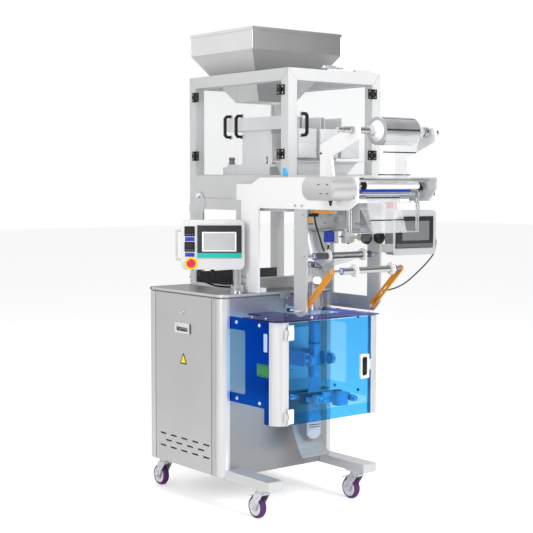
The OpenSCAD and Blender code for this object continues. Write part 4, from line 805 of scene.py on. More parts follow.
# Weigher enclosure
hingeLow = (1572, 1853)
leafScrew = [(0, 3.4), (1.6, 3.0), (2.4, 1.8), (2.4, 0.9), (1.4, 0.8)]
leaves = []
for z in hingeLow:
    for dz in (9, 35):
        leaves += [("y", x, z + dz) for x in (710, 742)] + [("x", y, z + dz) for y in (-150, -119, 505, 536)]
fixed("hinge_screws", [
    turned(leafScrew, (p, -188, z) if way == "y"
        else (222, p, z), toFront if way == "y" else toLeft, 16) for way, p, z in leaves if way == "x" or p > 727
], chrome, "frame_paint")
for body, way, spots in (("enclosure_door_front", "y", [710]), ("enclosure_door_left_front", "x", [-119]),
                         ("enclosure_door_left_rear", "x", [505])):
    makePiece("leaf_screws_" + body.split("_door_")[1], [
        turned(leafScrew, (p, -188, z + dz) if way == "y"
            else (222, p, z + dz), toFront if way == "y" else toLeft, 16) for p in spots for z in hingeLow
        for dz in (9, 35)
    ], chrome, body, "clear_pane")
pulls = {"enclosure_door_front": ("y", 302), "enclosure_door_left_front": ("x", 146),
    "enclosure_door_left_rear": ("x", 231)}
for body, (way, p) in pulls.items():
    feet = []
    for z in (1676, 1771):
        feet.append(block((p - 9, -190.2, z - 9), (p + 9, -184.2, z + 9), "y", 4, 1.6) if way == "y"
            else block((219.8, p - 9, z - 9), (225.8, p + 9, z + 9), "x", 4, 1.6))
    makePiece("pull_feet_" + body.split("_door_")[1], feet, greyCoat, body, "black_plastic")
# Dark mitre lines where the frame's tubes meet, on the front and left faces
mitres = []
for z, zIn in ((1967, 1917), (1340, 1390)):
    for a, b in ((226, 276), (777, 727)):
        mitres.append(sweptTube([(a, -184.1, z), ((a + b) / 2, -184.1, (z + zIn) / 2), (b, -184.1, zIn)], 0.45, 6))
for z, zIn in ((1967, 1917), (1340, 1390)):
    for a, b in ((-184, -134), (570, 520)):
        mitres.append(sweptTube([(225.9, a, z), (225.9, (a + b) / 2, (z + zIn) / 2), (225.9, b, zIn)], 0.45, 6))
fixed("frame_mitre_lines", mitres, seamAndShadeGrey, "frame_paint")
fixed("pane_gaskets", [
    ringPlate(roundRect(276.2, 1502.2, 726.8, 1916.8, 2, 2), roundRect(279, 1505, 724, 1914, 2, 2), "y", 546, 550),
    ringPlate(roundRect(-133.8, 1502.2, 519.8, 1916.8, 2, 2), roundRect(-131, 1505, 517, 1914, 2, 2), "x", 753, 757)
], greyCoat, "frame_paint")
strap = {"y": (455, 527), "z": (1262, 1422), "bolt": (489, 1404)}
fixed("stand_strap", [
    plate(roundRect(strap["y"][0], strap["z"][0], strap["y"][1], strap["z"][1], 33, 10), "x", 219.5, 226, 1.0)
], plateMetal, "frame_paint")
fixed("strap_bolt", [
    turned([(0, 13), (2, 13.6), (4, 12.8), (5, 9), (9, 8.6), (10.5, 6.5), (10.5, 2)], (219.6, *strap["bolt"]),
        toLeft, 28)
], chrome, "frame_paint")
seam = [
    sweptTube([(225.9, 226, 1394), (225.9, 400, 1394), (225.9, 569, 1394)], 0.5, 6),
    sweptTube([(227, -184.05, 1394), (400, -184.05, 1394), (776, -184.05, 1394)], 0.4, 6)
]
fixed("enclosure_seam", seam, seamAndShadeGrey, "frame_paint")
tab = np.array([(-191, 1497), (-149, 1497), (-149, 1531), (-153, 1534), (-168, 1532), (-172, 1528)], float)
fixed("blue_tab", [plate(tab, "x", 223.0, 225.9, 0.5)], tabBlue, "frame_paint")
fixed("roof_latch", [
    block((440, -172, 1980.4), (560, -150, 1986), "z", 6, 1.2),
    block((446, -166, 1986), (520, -156, 1993), "y", 3, 1.5),
    turned([(0, 5), (8, 5), (9, 4)], (548, -161, 1985.6), toTop, 20)
], zinc, "frame_paint")
# Folded corner seams of the hopper: a soft bead down each corner
hop = {"band": ((234, 83.5), (769, 569.5)), "low": 2075, "high": 2161}
seams = []
for x in (hop["band"][0][0], hop["band"][1][0]):
    for y in (hop["band"][0][1], hop["band"][1][1]):
        seams.append(sweptTube([(x, y, hop["low"]), (x, y, 2110), (x, y, hop["high"])], 1.6, 8))
fixed("hopper_corner_beads", seams, steelHopper, "hopper_steel")
# Weigher trim: rounded noses on the pans, drive covers and a dark seam between the buckets' doors
trims, doors = [], []
for i in range(3):
    x = 501.5 + (i - 1) * 130
    trims.append(softRing((x, -130 + 25, 1390 + 262), toFront, 5, 13, 25, 5, 28))
    doors.append(block((x - 51, -142.5, 1585), (x + 51, -140.2, 1642), "y", 6, 1.0))
    doors.append(block((x - 51, -142.5, 1648), (x + 51, -140.2, 1704), "y", 6, 1.0))
fixed("bucket_doors", doors, steelWeigher, "weigher_steel")
fixed("bucket_catches", trims, chrome, "weigher_steel")
fixed("vibrator_feet", [
    turned([(0, 13), (4, 16), (9, 16), (13, 13), (20, 13), (24, 16), (30, 16), (34, 13)], (x, y, 1553), toTop,
        28) for x in (340, 663) for y in (90, 380)
], blackPlastic, "weigher_steel")
print("weigher enclosure dressed")

# Film unit, fixed parts: the near faces of its plates along x, and the feed roller's middle (y, z)
plateAt = {"near": 190, "strip": 200, "far": 628}
feedAt = (-600, 1455)
fixed("feed_bearings", [
    softRing((x, *feedAt), toRight, 6.2, r, 0, 10, 36) for x, r in ((286, 19), (606, 18))
], blackPlastic, "white_roller")
fixed("feed_bearing_blocks", [
    block((270, -612, 1474), (285, -588, 1488), "x", 3, 1),
    block((617, -612, 1436), (627.8, -590, 1448), "x", 3, 1)
], blackPlastic, "white_roller")
nose = {"y": (-674, -652), "z": (1412, 1476)}
fixed("far_nose_flange", [
    block((638.2, nose["y"][0], nose["z"][0]), (668, nose["y"][0] + 5, nose["z"][1]), "y", 2, 0.8),
    block((638.2, nose["y"][0], nose["z"][0]), (641, nose["y"][1], nose["z"][1]), "x", 2, 0.8)
], whiteCoat, "white_paint")
bolts = [(-280, 1369), (-325, 1369), (-318, 1332), (-318, 1150), (-300, 913)]
fixed("near_strip_bolts", [screwHead((plateAt["strip"], y, z), toLeft, 6.2, 6.4) for y, z in bolts if z < 1350]
    + [screwHead((plateAt["near"], y, z), toLeft, 6.2, 6.4) for y, z in bolts if z > 1350], zinc, "zinc")
fixed("near_plate_dark_screw", [
    screwHead((plateAt["near"], -447, 1590), toLeft, 4.6, 3.6)
], blackPlastic, "zinc")
fixed("near_plate_bolts", [
    screwHead((plateAt["near"], y, z), toLeft, 5, 4)
    for y, z in ((70, 1040), (100, 1040), (70, 1010), (100, 1010), (-610, 1470), (-655, 1470), (-655, 1405))
], zinc, "zinc")
fixed("far_plate_bolts", [
    screwHead((plateAt["far"], y, z), toLeft, 4.6, 3.8)
    for y, z in ((-290, 1250), (-320, 1250), (-300, 1090), (-330, 1090), (-20, 905), (-60, 905))
], zinc, "zinc")
fixed("rod_end_caps", [
    turned([(0, r + 3), (2, r + 3.4), (4, r + 1.5)], (x, y, z), (s, 0, 0), 24)
    for y, z, r in ((-650, 1478, 6), (-628, 1474, 4), (-564, 1431, 4), (-480, 1420, 9), (-560, 1391, 8))
    for x, s in ((plateAt["near"], -1), (638, 1))
], zinc, "polished")
fixed("stub_pin", [turned([(-3, 6), (31, 6), (32, 5)], (204, -258, 911), toBack, 24)], chrome, "zinc")
fixed("stub_pin_cap", [
    turned([(30, 8), (31, 9), (43, 9), (44.5, 7.5)], (204, -258, 911), toBack, 28)
], blackPlastic, "black_plastic")
motor = {"ends": (-519, -622), "z": 1444, "radius": 47}
coverEdge = []
for y, start in zip(motor["ends"], (-np.pi / 2, np.pi / 2)):
    a = np.linspace(start, start + np.pi, 25)
    coverEdge.append(np.stack([y + motor["radius"] * np.cos(a), motor["z"] + motor["radius"] * np.sin(a)], 1))
fixed("motor_cover_face", [
    plate(np.concatenate(coverEdge), "x", 62.6, 65.4, 2.2)
], steelUp, "cover_steel")
# The slots are dark plates on the cover: painted shade for the openings
fixed("motor_cover_slots", [
    block((61.9, y, z), (63.4, y + 13, z + 4), "x", 1.8, 0.3)
    for y, z in ((-638, 1458), (-585, 1458), (-638, 1421), (-598, 1421))
], darkPrintAndShade, "cover_steel")
fixed("motor_cover_gland", [
    turned([(0, 9), (4, 9), (5, 7.5), (14, 6), (24, 4.0), (25, 2.5)], (131, -575, 1397), toFloor, 24)
], cableBlack, "cover_steel")
orange = {"strip": ((209, -488, 1339), (226, -365, 1349.6)), "tab": ((208.2, -364, 1296), (212, -348, 1322))}
fixed("turning_bar_sleeve", [
    turned([(0, 8.9), (0, 9.5), (376, 9.5), (376, 8.9)], (213, -560, 1391), toRight, 36, ring=True)
], nylonWhite, "white_roller")
fixed("orange_guides", [
    block(*orange["strip"], "z", 2, 0.8),
    block(*orange["tab"], "x", 2, 0.8)
], orangeMetal, "orange_paint")
knob = [(0, 6), (2, 20), (4, 25.5), (8, 27), (20, 27), (24, 25.5), (26, 21), (26.5, 9), (24, 8.5), (24, 0.5)]
knobX, knobZ = (530, 609), 1223
fixed("black_knobs", [turned(knob, (x, -348, knobZ), toFront, 44) for x in knobX]
    + [softRing((x, -366, knobZ), toFront, 25, 28.4, 0, 4, 44) for x in knobX], blackPlastic, "black_plastic")
fixed("knob_shafts", [turned([(0, 7), (96, 7)], (x, -252, knobZ), toFront, 20) for x in knobX]
    + [block((588, -262, 1205), (627.8, -240, 1262), "y", 4, 1.5)], zinc, "polished")
fixed("sensor_label_plate", [
    block((429, -263.4, 1197.6), (453, -236.6, 1250.4), "y", 2, 0.8),
    block((432, -264.4, 1206), (450, -263, 1242), "y", 1, 0.3)
], boxCoat, "blue_paint")
fixed("sensor_trim", [
    block((537.5, -264.4, 1200), (548.5, -236, 1244), "y", 2, 0.8)
], signalYellow, "blue_paint")
fixed("block_body_skin", [
    block((492, -263.6, 1196), (538, -236.4, 1246), "y", 8, 1.6),
    turned([(0, 11), (8, 13), (14, 11), (15, 4)], (504, -250, 1246), toTop, 28)
], boxCoat, "blue_paint")
fixed("block_foot", [
    turned([(0, 7), (6, 6), (8, 3)], (524, -250, 1199), toFloor, 20),
    turned([(0, 3), (56, 3)], (470, -250, 1226), toRight, 14),
    turned([(0, 3), (36, 3)], (553, -250, 1226), toRight, 14)
], blackPlastic, "black_plastic")
fixed("sensor_socket", [
    turned([(0, 9.5), (3, 9.5), (4, 7.5), (12, 6.4)], (404, -250, 1204), toFloor, 24),
    turned([(0, 8.6), (5, 8.6), (6, 7.4), (13, 7.4)], (302, -270, 1362), toFloor, 24)
], chrome, "zinc")
fixed("mechanism_backs", [
    block((250, -236, 1262), (470, -230, 1350), "y", 6, 1.2),
    block((300, -262, 1338), (380, -244, 1352), "y", 3, 1.5),
    block((395, -262, 1330), (440, -236, 1362), "y", 6, 2.0),
    block((520, -246, 1262), (600, -238, 1340), "y", 6, 1.2),
    turned([(0, 15), (18, 15), (20, 13)], (470, -246, 1306), toFront, 28)
], plateMetal, "plate_alu")
# The slots are dark plates on the backs: painted shade for the openings
fixed("mechanism_slots", [
    block((300, -238.4, 1318), (356, -235.2, 1332), "y", 3, 0.4),
    block((392, -238.4, 1286), (398, -235.2, 1292), "y", 3, 0.4),
    block((300, -238.4, 1284), (330, -235.2, 1288), "y", 2, 0.3)
], darkPrintAndShade, "plate_alu")
fixed("head_parts", [
    block((356, -500, 1352), (412, -470, 1378), "x", 6, 2),
    turned([(0, 16), (12, 16), (14, 14)], (416, -478, 1366), toRight, 28),
    block((349, -512, 1300), (352, -470, 1376), "x", 5, 1),
    *[screwHead((352, y, z), toLeft, 3.4, 3) for y, z in ((-494, 1310), (-480, 1366), (-486, 1340))]
], plateMetal, "plate_alu")
print("film unit dressed")

# Rollers and arms
eye = (-305 - 259 * math.cos(math.radians(44.4)), 912 + 259 * math.sin(math.radians(44.4)))
rings = {"guide_roller": ((-330, 1149), (332, 538), (250, 580), 14),
    "dancer_roller": (eye, (344, 560), (266, 585), 14)}
for name, ((y, z), whites, ends, radius) in rings.items():
    makePiece(name + "_rings", [
        softRing((x - 5.2, y, z), toRight, radius - 0.5, 27.6, 0, 10.4, 48) for x in whites
    ], nylonWhite, name, "white_roller")
    makePiece(name + "_blue_ends", [
        softRing((ends[0], y, z), toRight, radius - 3, radius + 1.6, 0, 3.4, 40),
        softRing((ends[1] - 1, y, z), toRight, radius - 3, radius + 1.6, 0, 3.4, 40)
    ], royalBlue, name, "white_roller")
    makePiece(name + "_hubs", [
        softRing((ends[0] - 4, y, z), toRight, 6.3, radius - 2, 0, 6, 32),
        softRing((ends[1] + 1, y, z), toRight, 6.3, radius - 2, 0, 6, 32)
    ], plateMetal, name, "polished")
makePiece("guide_roller_sleeve", [
    turned([(0, 14.3), (321, 14.3)], (256, -330, 1149), toRight, 40)
], rollerGrey, "guide_roller", "polished")
makePiece("dancer_eye_bushes", [
    softRing((x, *at), toLeft, 6.2, 9.4, 0, 1.6, 32) for x in (213, 615) for at in (eye, (-305, 912))
], zinc, "dancer_arms", "polished")
fixed("dancer_pivot_caps", [
    turned([(0, 9), (3, 9), (4, 8), (4, 4), (2.5, 3.8)], (608.8, -305, 912), toLeft, 28)
], zinc, "polished")
makePiece("hanging_dancer_collars",
    [softRing((x, -600, 1422), toRight, 6.4, 13.4, 0, 5, 32) for x in (212.6, 599.0)]
    + [turned([(0, 4.6), (6, 4.6), (7, 3.8)], (x, -600 + y, 1412), toFloor, 16) for x in (220, 608)
        for y in (-6, 6)], greyCoat, "hanging_dancer", "polished")
print("rollers dressed")

# Film
# The roll shown is 196 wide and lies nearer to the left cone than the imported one, so it is replaced whole
roll = {"centre": (-640, 1682), "x": (327, 523), "radius": 59, "turns": 72}
(left, right), (cy, cz) = roll["x"], roll["centre"]
wide = right - left
radius = roll["radius"]
rollRows = [
    (0, 19.5), (0, radius - 0.8), (0.9, radius), (wide - 0.9, radius), (wide, radius - 0.8), (wide, 19.5)
]
rollPiece = makePiece("film_roll_wound", [
    turned(rollRows, (left, cy, cz), toRight, roll["turns"], ring=True)
], filmSilver, "film_reel", "film")
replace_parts(rollPiece, "film_roll")
marks = []
for degrees, half in ((176, 3.0), (228, 1.6), (120, 2.4)):
    t = np.radians(degrees + np.linspace(-half, half, 5))
    grid = np.stack([np.stack([np.full(5, x), cy + (radius + 0.35) * np.cos(t),
            cz + (radius + 0.35) * np.sin(t)], 1) for x in (left + 1, right - 1)])
    marks.append(sheetPiece(grid, 0.3))
makePiece("roll_marks", marks, inkBlack, "film_reel", "film")
makePiece("roll_ends", [softRing((x, cy, cz), (s, 0, 0), 43, 58.4, 0, 1.4, 72)
        for x, s in ((left, -1), (right, 1))]
    + [softRing((x, cy, cz), (s, 0, 0), r, r + 1.1, 1.2, 0.8, 72) for x, s in ((left, -1), (right, 1))
        for r in (47, 52, 56)], rollEdge, "film_reel", "film")
leftCone = [(26, 14), (26, 19), (24, 26), (21, 29), (9, 37), (4, 42), (2, 43.8), (-1, 43.5), (-1, 14)]
rightCone = [(-1, 14), (-1, 43), (2, 43), (10, 34), (21, 24), (22, 14)]
conePiece = makePiece("core_cones", [
    turned(leftCone, (left, cy, cz), toLeft, 56, ring=True),
    turned(rightCone, (right, cy, cz), toRight, 56, ring=True)
], nylonWhite, "film_reel", "white_roller")
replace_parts(conePiece, "roll_cones")
collar = [(0, 13.8), (0, 22), (2, 23), (30, 23), (32, 21), (32, 13.8)]
smallCollar = [(0, 13.8), (0, 16), (1, 17), (14, 17), (15, 16), (15, 13.8)]
makePiece("core_collars", [
    turned(collar, (545, cy, cz), toRight, 40, ring=True),
    turned(smallCollar, (577, cy, cz), toRight, 36, ring=True),
    screwHead((561, cy - 22.5, cz), toFront, 4, 3)
], plateMetal, "film_reel", "polished")
makePiece("core_hub", [
    turned([(0, 20.5), (4, 20.5), (5, 19), (22, 19), (24, 16.5), (24, 13.8)], (303, cy, cz), toLeft, 40),
    softRing((293, cy, cz), toLeft, 18.6, 21, 0, 5, 40)
], plateMetal, "film_reel", "polished")
makePiece("shaft_ends", [
    turned([(0, 13.9), (1.4, 13.9), (2.2, 12.8), (2.2, 6), (1.0, 5.5)], (677, cy, cz), toRight, 36),
    softRing((181, cy, cz), toRight, 13.7, 17.5, 0, 7, 36),
    softRing((640, cy, cz), toRight, 13.7, 17.5, 0, 7, 36)
], polished, "film_reel", "polished")


tubeX, tubeY = 415, -145


# Film carried along a path of (y, z) points; its two edges may drift sideways along the way
def filmBand(path, left, right, wave=0.0, thick=0.25, step=6, columns=13):
    line = smoothLine(np.column_stack([np.zeros(len(path)), path]), step)
    t = np.linspace(0, 1, len(line))[:, None]
    s = np.linspace(0, 1, columns)[None, :]
    x = (left[0] + (left[1] - left[0]) * t) * (1 - s) + (right[0] + (right[1] - right[0]) * t) * s
    along = np.gradient(line[:, 1:], axis=0)
    along /= np.linalg.norm(along, axis=1)[:, None]
    lift = wave * (np.sin(x / 17 + 9 * t) + 0.6 * np.sin(x / 7.3 - 14 * t)) * np.sin(np.pi * t) ** 0.5
    y = line[:, 1][:, None] - along[:, 1][:, None] * lift
    z = line[:, 2][:, None] + along[:, 0][:, None] * lift
    return np.stack([x, y, z], 2)


webPath = [(-696.0, 1662), (-684.2, 1626), (-664.6, 1568), (-646.4, 1514), (-633.2, 1475)]
webBand = filmBand(webPath, (329, 331), (521, 523), 0.6)
webPiece = fixed("film_web_band", [sheetPiece(webBand, 0.25)], filmClear, "film_clear")
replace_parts(webPiece, "film_web")


# Strip of print on a band of film: the rows nearest to the asked heights, a hair in front of it
def printOn(band, low, high, fromX, toX, off=0.5):
    z = band[:, 0, 2]
    pick = np.linspace(low, high, 4)
    order = np.argsort(z)
    cut = []
    for h in pick:
        y = float(np.interp(h, z[order], band[order, band.shape[1] // 2, 1]))
        cut.append(np.stack([np.linspace(fromX, toX, 5), np.full(5, y - off), np.full(5, h)], 1))
    return sheetPiece(np.stack(cut), 0.2)


fixed("web_marks", [
    printOn(webBand, z - 2.3, z + 2.3, 331, 521, 1.2) for z in (1594, 1501)
], inkBlack, "film_clear")
# The film goes over the feed roller, down in front of the white bar and round the hanging dancer's rod
overPath = [
    (-633.2, 1475), (-632.0, 1470.6), (-628, 1468.9), (-614, 1470.0), (-600, 1471.4), (-588, 1466.4),
    (-583.4, 1455), (-579, 1446), (-566, 1437), (-565.4, 1424), (-569.8, 1404), (-570.4, 1391)
]
overBand = filmBand(overPath, (331, 337), (523, 533), 0.0)
fixed("film_over_rollers", [sheetPiece(overBand, 0.25)], filmClear, "film_clear")
loopPath = [
    (-570.4, 1391), (-573, 1376), (-586, 1330), (-600, 1282), (-605.2, 1262), (-603.4, 1256), (-600, 1254.8),
    (-596.4, 1256.4), (-592, 1266), (-560, 1310), (-524, 1362), (-494, 1408), (-491, 1416), (-490.4, 1421)
]
loopBand = filmBand(loopPath, (337, 343), (533, 545), 1.0)
loopFront = loopBand[:int(np.argmin(loopBand[:, 0, 2])) - 1]
loopPiece = makePiece("film_loop", [sheetPiece(loopBand, 0.25)], filmClear, None, "film_clear")
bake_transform(loopPiece)
loopMarks = [printOn(loopFront, 1307.5, 1312.5, 338, 542, 1.4)]
markPiece = makePiece("film_loop_marks", loopMarks, inkBlack, None, "film_clear")
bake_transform(markPiece)
fixed("film_over_marks", [printOn(overBand[-9:], 1402, 1407, 336, 530, 1.0)], inkBlack, "film_clear")
orangePrint = makePiece("film_print_orange", [
    printOn(loopFront, 1352, 1383, 498, 508, 1.2)
], printOrange, None, "film_clear")
redPrint = makePiece("film_print_pale", [
    printOn(loopFront, 1354, 1384, 448, 494, 1.2)
], printPale, None, "film_clear")
for piece in (orangePrint, redPrint):
    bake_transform(piece)
# From the last bar the film passes the guide roller and climbs over the shoulder of the collar
downPath = [(-470, 1420), (-452, 1370), (-400, 1262), (-360, 1184), (-345.4, 1153)]
fixed("film_to_guide", [
    sheetPiece(filmBand(downPath, (345, 350), (541, 536), 0.8), 0.2)
], filmFaint, "film_clear")
backPath = [
    (-345.4, 1153), (-344, 1146), (-340, 1140), (-330, 1134.2), (-318, 1130), (-290, 1119), (-250, 1105),
    (-222, 1098), (-206, 1097)
]
fixed("film_to_collar", [
    sheetPiece(filmBand(backPath, (350, 360), (536, 470), 0.8), 0.2)
], filmClear, "film_clear")
# Its rings grow evenly outwards, most at the back, and fall with the square of the way; round the tube the height
# follows a sine, with fine creases that grow outwards
shoulderRows, shoulderTurns = 13, 72
a = np.linspace(0, 2 * np.pi, shoulderTurns, endpoint=False)[None, :]
t = np.linspace(0.0, 0.98, shoulderRows)[:, None]
crease = 1.1 * np.sin(9 * a + 5 * t) * t + 0.8 * np.sin(17 * a - 8 * t) * t
radius = 28 + 62 * (0.75 + 0.25 * np.sin(a)) * t + crease * 0.4
height = 1085 + 6 + 16 * np.sin(a) + 5 * np.sin(np.pi * np.minimum(1, 2 * t)) - 60 * t * t + 1.4 + crease
shoulderGrid = np.stack([tubeX + radius * np.cos(a), tubeY + radius * np.sin(a), height], 2)
fixed("film_over_shoulder", [sheetPiece(shoulderGrid, 0.3, wrap=True)], filmCrumpled, "film_clear")


# Film tube: closed rings from a round section to a flat one, with soft creases that grow as it flattens
def filmTube(rows, turns=56):
    rows = np.asarray(rows, float)  # z, half width, half depth, crease
    fine = smoothLine(np.column_stack([rows[:, 1:3], rows[:, 0]]), 5)
    z, wide, deep = fine[:, 2], fine[:, 0], fine[:, 1]
    crease = np.interp(z, rows[::-1, 0], rows[::-1, 3])[:, None]
    a = np.linspace(0, 2 * np.pi, turns, endpoint=False)[None, :]
    ripple = 1 + crease * (0.5 * np.sin(5 * a + z[:, None] / 13) + 0.35 * np.sin(11 * a - z[:, None] / 7)
        + 0.2 * np.sin(3 * a + z[:, None] / 29))
    x = tubeX + wide[:, None] * np.sign(np.cos(a)) * np.abs(np.cos(a)) ** 0.9 * ripple
    y = tubeY + deep[:, None] * np.sin(a) * ripple
    return np.stack([x, y, np.broadcast_to(z[:, None], x.shape)], 2)


sleeve = filmTube([(1080, 26.2, 26.2, 0), (960, 26.2, 26.2, 0.004), (800, 26.3, 26.3, 0.006),
        (640, 26.6, 26.6, 0.012), (588, 27, 26, 0.03)])
fixed("film_sleeve", [sheetPiece(sleeve, 0.2, wrap=True)], filmCrumpled, "film_clear")
lowTube = filmTube([(588, 27, 26, 0.03), (560, 30, 20, 0.06), (530, 36, 9, 0.05), (508, 38.6, 3.2, 0.01),
        (492, 38.6, 3.2, 0.01), (474, 37.5, 7, 0.05), (440, 34, 17, 0.08), (400, 34, 22, 0.07),
        (366, 36.5, 21, 0.05), (340, 38, 19, 0.05), (322, 37, 16, 0.06), (312, 31, 13, 0.05),
        (304, 20, 8, 0.03), (300, 6, 3, 0)])
tubePoints, tubeFaces = sheetPiece(lowTube, 0.25, wrap=True)
fixed("film_bag", [(tubePoints, tubeFaces)], bagFilm, "film_clear")


# Ring of print round the film tube, or its front part only: an ellipse raised a little
def bandRound(z, wide, deep, height, front=False):
    a = np.linspace(0, 2 * np.pi, 64, endpoint=False) if not front else np.linspace(1.12 * np.pi, 1.88 * np.pi, 30)
    grid = np.stack([np.stack([tubeX + wide * np.cos(a), tubeY + deep * np.sin(a), np.full(len(a), h)], 1)
            for h in (z - height / 2, z + height / 2)])
    return sheetPiece(grid, 0.3, wrap=not front)


fixed("tube_marks", [bandRound(z, 27.4, 27.2, 4.2) for z in (743, 646)]
    + [bandRound(z, 27.4, 27.2, 4.2) for z in (840, 940, 1040)], inkBlack, "film_clear")
fixed("bag_marks", [
    bandRound(z, w, d, 3.4, True) for z, w, d in ((370, 37.6, 22.6), (359, 38.2, 22.4))
], inkBlack, "film_clear")
fixed("bag_seal", [
    block((378, -150.1, 488 + i * 5), (452, -139.9, 490.4 + i * 5), "z", 1.5, 0.4) for i in range(5)
], filmCrumpled, "film_clear")
print("film laid")

# Guard
guardBolts = [(-50, 853), (-214, 853), (-54, 515), (-217, 514)]
fixed("guard_side_bolts", [turned([(0, 8), (1.6, 8), (2.2, 6.4), (2.4, 5.4), (5.4, 5.2), (6.4, 3.6), (6.4, 1)],
        (45, y, z), toLeft, 24) for y, z in guardBolts]
    + [turned([(0, 8), (1.6, 8), (2.2, 6.4), (5.4, 5.2), (6.4, 3.6)], (619, y, z), toRight, 24)
        for y, z in guardBolts], chrome, "leg_steel")
fixed("guard_top_bolts", [
    turned([(0, 7.4), (1.4, 7.4), (2.4, 5.2), (4, 3.4), (4, 1)], (x, y, 881), toTop, 24)
    for x, y in ((59, -144), (66, -231), (606, -90), (606, -200), (606, -300))
], chrome, "leg_steel")
fixed("guard_side_label", [
    block((44.0, -276, 632), (45.1, -196, 687), "x", 2, 0.2)
], labelGreen, "deep_blue_clear")
fixed("guard_side_label_line", [
    block((43.6, -270, 636), (44.2, -202, 638.4), "x", 0.8),
    block((43.6, -270, 680), (44.2, -202, 682.4), "x", 0.8)
], darkPrintAndShade, "deep_blue_clear")
fixed("guard_side_pale_strip", [
    block((44.2, -268, 741), (45.1, -243, 821), "x", 5, 0.2)
], paleBlue, "deep_blue_clear")
makePiece("latch_frame", [
    ringPlate(roundRect(514, 592, 565, 702, 7, 8), roundRect(523, 603, 554, 691, 9, 8), "y", -350.4, -347.2)
], nylonWhite, "guard_door", "white_paint", bevel=1.0)
makePiece("latch_slot", [
    block((525.5, -350.2, 606), (551.5, -348.2, 688), "y", 9, 0.6)
], blackPlastic, "guard_door", "white_paint")
makePiece("latch_keeper", [
    block((566, -345.8, 628), (583, -340.6, 676), "y", 3, 1.0)
], paleBlue, "guard_door", "blue_clear")
hinge = {"low": (436, 797), "high": 64, "pin": 96}
makePiece("guard_hinge_leaves", [
    block((100, -352.4, z), (124, -348, z + hinge["high"]), "y", 2, 0.8) for z in hinge["low"]
], nylonWhite, "guard_door", "white_paint")
fixed("guard_hinge_knuckles", [
    turned([(0, 4.6), (0.8, 5.2), (hinge["high"] / 3 - 2, 5.2), (hinge["high"] / 3 - 1.2, 4.6)],
        (hinge["pin"], -352, z + k * hinge["high"] / 3), toTop, 24) for z in hinge["low"] for k in (0, 2)
], nylonWhite, "white_paint")
makePiece("guard_hinge_screws", [
    turned([(0, 3.2), (1.2, 3), (1.9, 1.8)], (114, -352.4, z + dz), toFront, 16) for z in hinge["low"]
    for dz in (12, 52)
], chrome, "guard_door", "white_paint")
# What shows through the door: jaws with their springs and heads, and the fittings on the back plate
jawFace = {"x": (302, 528), "z": (488, 512)}
for name, body, front, back in (("jaw_faces", "front_jaw", -177.2, -175.4),
                                ("jaw_faces_rear", "rear_jaw", -114.6, -112.8)):
    makePiece(name, [
        block((jawFace["x"][0], front, jawFace["z"][0]), (jawFace["x"][1], back, jawFace["z"][1]), "y", 2, 0.6)
    ], chrome, body, "jaw_metal")


# Coil: a circle of the given radius, wound evenly along its axis
def coilSpring(start, axis, length, radius, turns, wire):
    s = np.linspace(0, 1, int(turns * 14))
    side, up = squareTo(axis)
    wind = 2 * np.pi * turns * s
    line = np.asarray(start, float) + s[:, None] * length * unit(axis) + radius * (np.cos(wind)[:, None] * side
        + np.sin(wind)[:, None] * up)
    return sweptTube(line, wire, 7)


fixed("jaw_springs", [
    coilSpring((x, -250, 500), toBack, 40, 10.5, 7, 1.3) for x in (320, 510)
], zinc, "polished")
fixed("jaw_heads", [
    block((300, -298, 492), (352, -262.4, 528), "y", 6, 2),
    turned([(0, 13), (10, 13), (12, 9), (26, 9), (28, 7)], (326, -298, 508), toFront, 28),
    block((428, -296, 470), (484, -262.4, 530), "y", 3, 1.5),
    turned([(0, 15), (16, 15), (18, 12), (30, 12), (32, 8)], (511, -290, 500), toFront, 30),
    block((360, -270, 512), (420, -262.4, 536), "y", 3, 1.5)
], plateMetal, "polished")
fixed("jaw_head_fins", [
    block((426, -298.5, 474 + 9 * i), (486, -262, 478 + 9 * i), "z", 2, 0.6) for i in range(6)
], zinc, "polished")
fixed("pull_wheel_hubs", [
    turned([(0, 9), (14, 9), (16, 7), (20, 6)], (343, -185, 670), toLeft, 24)
], zinc, "polished")
boardFront = -12.4
fixed("back_fittings", [
    block((302, -34, 740), (350, boardFront, 800), "y", 6, 2),
    turned([(0, 11), (8, 11), (9, 8), (14, 7)], (326, -34, 756), toFront, 28),
    block((300, -24, 690), (372, boardFront, 698), "y", 3, 1.5),
    block((300, -24, 600), (390, boardFront, 606), "y", 2, 1.5),
    turned([(0, 14), (12, 14), (13, 10), (20, 9)], (318, boardFront, 624), toFront, 28),
    block((498, -20, 640), (536, boardFront, 652), "y", 4, 1.5),
    block((530, -20, 640), (536, boardFront, 700), "y", 2, 1.5),
    *[screwHead((x, -12, z), toFront, 4, 3.4) for x in (300, 530) for z in (460, 560, 780)],
    *[turned([(0, 3.5), (1.5, 3), (2, 1.5)], (x, -12.2, z), toFront, 14) for x in (508, 518)
        for z in (592, 606, 620)]
], plateMetal, "polished")
fixed("back_round_label", [
    turned([(0, 14), (0.6, 14), (0.8, 13.6)], (520, -12.2, 722), toFront, 40)
], violetLabel, "violet_clear")
fixed("chute_rim", [
    sweptTube([(x, -12, 556 - 3), (x, -48, 436), (x, -79, 357), (x, -98, 310), (x, -124, 258), (x, -149, 224)],
        1.5, 8) for x in (343, 497)
], steelAcross, "cabinet_steel")
